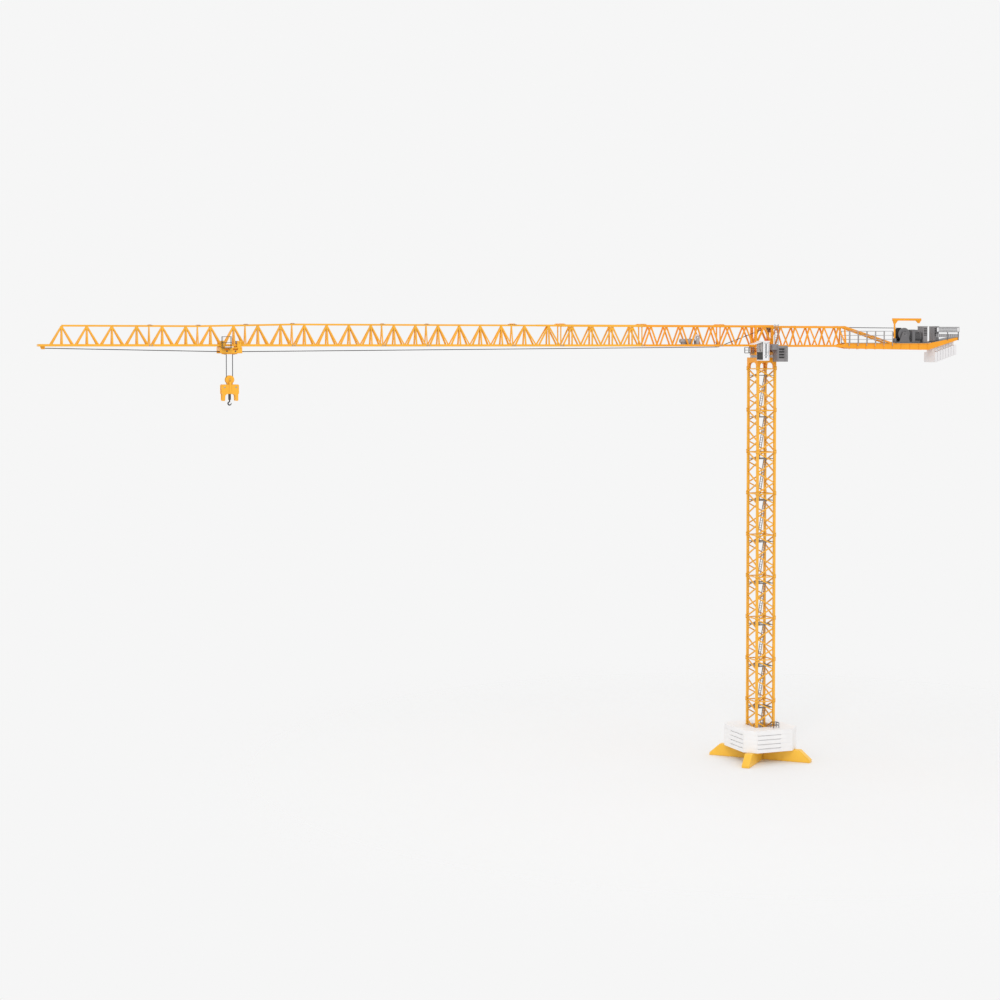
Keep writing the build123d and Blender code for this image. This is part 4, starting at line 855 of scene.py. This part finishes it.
def basket():
    """Thin railed maintenance basket on the trolley's near side."""
    mesh = bmesh.new()
    bar = 0.3 * MM
    (x0, y0, z0), (_, y1, z1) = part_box("trolley_basket")
    x1 = x0 + 11.6 * MM
    add_block(mesh, (x0, y0, z0), (x1, y1, z0 + 0.6 * MM))
    left, right, near, far = x0 + 0.4 * MM, x1 - 0.4 * MM, y0 + 0.4 * MM, y1 - 0.4 * MM
    posts = [(left, near), (right, near), (right, far), (left, far)]
    for x, y in posts:
        add_rod(mesh, (x, y, z0), (x, y, z1 - bar), bar, 8)
    sides = [(posts[k], posts[(k + 1) % 4]) for k in (0, 1, 3)]
    for (ax, ay), (bx, by) in sides:
        for z in (z0 + 6.6 * MM, z1 - 0.35 * MM):
            add_rod(mesh, (ax, ay, z), (bx, by, z), bar, 8)
    z = z0 + 0.5 * MM
    for k in range(1, 6):
        x = x0 + (x1 - x0) * k / 6
        add_rod(mesh, (x, y0 + 0.5 * MM, z), (x, y1 - 0.5 * MM, z), 0.25 * MM, 8)
    piece("basket", mesh, [DARK_STEEL], "trolley", ["trolley_basket"])


def block_fittings():
    """Sheave pin and its keeper on the hook block."""
    mesh = bmesh.new()
    x, z = TROLLEY_X, SHEAVE_Z
    for side in (-1, 1):
        cheek = side * 2.6 * MM
        add_bolt(mesh, (x, cheek, z), (0, side, 0), 1.2 * MM, 0.5 * MM)
        add_block(mesh, (x - 0.5 * MM, cheek, z + 1.4 * MM), (x + 0.5 * MM, side * 3.0 * MM, z + 3.6 * MM))
    piece("block_fittings", mesh, [AMBER], "hook_block", bevel=0.06 * MM)


def forged_hook():
    """Hook of round section: thick at the back of its bowl and drawn out to a blunt tip."""
    x, z = TROLLEY_X, SHEAVE_Z - 28.3 * MM
    bowl, steps = 1.9 * MM, 18
    route = [Vector((x, 0, z + rise)) for rise in (4.3 * MM, 3.0 * MM, bowl)]
    thick = [0.8, 0.78, 0.74]
    for k in range(1, steps + 1):
        angle = pi / 2 + 1.5 * pi * k / steps
        route.append(Vector((x + bowl * cos(angle), 0, z + bowl * sin(angle))))
        thick.append(0.74 + 0.14 * sin(pi * min(1, k / 14)) - 0.28 * max(0, k - 13) / 5)
    route.append(Vector((x + bowl * 1.08, 0, z + 0.7 * MM)))
    thick.append(0.3)
    made = tube("forged_hook", route, 0.75 * MM, 14, [value * MM for value in thick])
    made.data.materials.append(DARK_STEEL)
    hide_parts("hook")
    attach(made, "hook")


# ---- Assembly -------------------------------------------------------------------------------
def make_floor():
    mesh = bmesh.new()
    bmesh.ops.create_circle(mesh, cap_ends=True, segments=96, radius=FLOOR_REACH)
    data = bpy.data.meshes.new("floor")
    mesh.to_mesh(data)
    mesh.free()
    data.materials.append(floor_paper("floor_paper", FLOOR_FADE))
    made = bpy.data.objects.new("floor", data)
    made.location.z = -FLOOR_DROP
    scene.collection.objects.link(made)


SOFTENED = [  # node, edge radius in mm, body, slot and material
    ("ballast_slabs", 0.35, "tower", "white_paint", CHALK),
    ("counterweights", 0.3, "upperworks", "white_paint", SLAB_WHITE),
    ("base_long_beam", 0.35, "tower", "yellow_paint", BASE_AMBER),
    ("base_half_beams", 0.35, "tower", "yellow_paint", BASE_AMBER),
    ("cab_shell", 0.3, "upperworks", "white_paint", MATERIALS["white_paint"]),
    ("cab_awning", 0.15, "upperworks", "white_paint", MATERIALS["white_paint"]),
    ("electrical_cabinets", 0.4, "upperworks", "grey_paint", MATERIALS["grey_paint"]),
    ("hook_block_frame", 0.25, "hook_block", "yellow_paint", AMBER),
]

scene.view_settings.view_transform = "Standard"
make_camera()
hoist_rope()
drum_winding()
make_lights()
make_floor()
paint_frame()
for node, width, body, slot, paint in SOFTENED:
    softened(node, width * MM, body, paint)
ballast_rail()
mast_fittings()
ring_fittings()
cab_trim()
cabinet_trim()
jib_pins()
splice_covers()
girder_ribs()
hoist_fittings()
name_board()
trolley_fittings()
basket()
spreader()
block_fittings()
forged_hook()
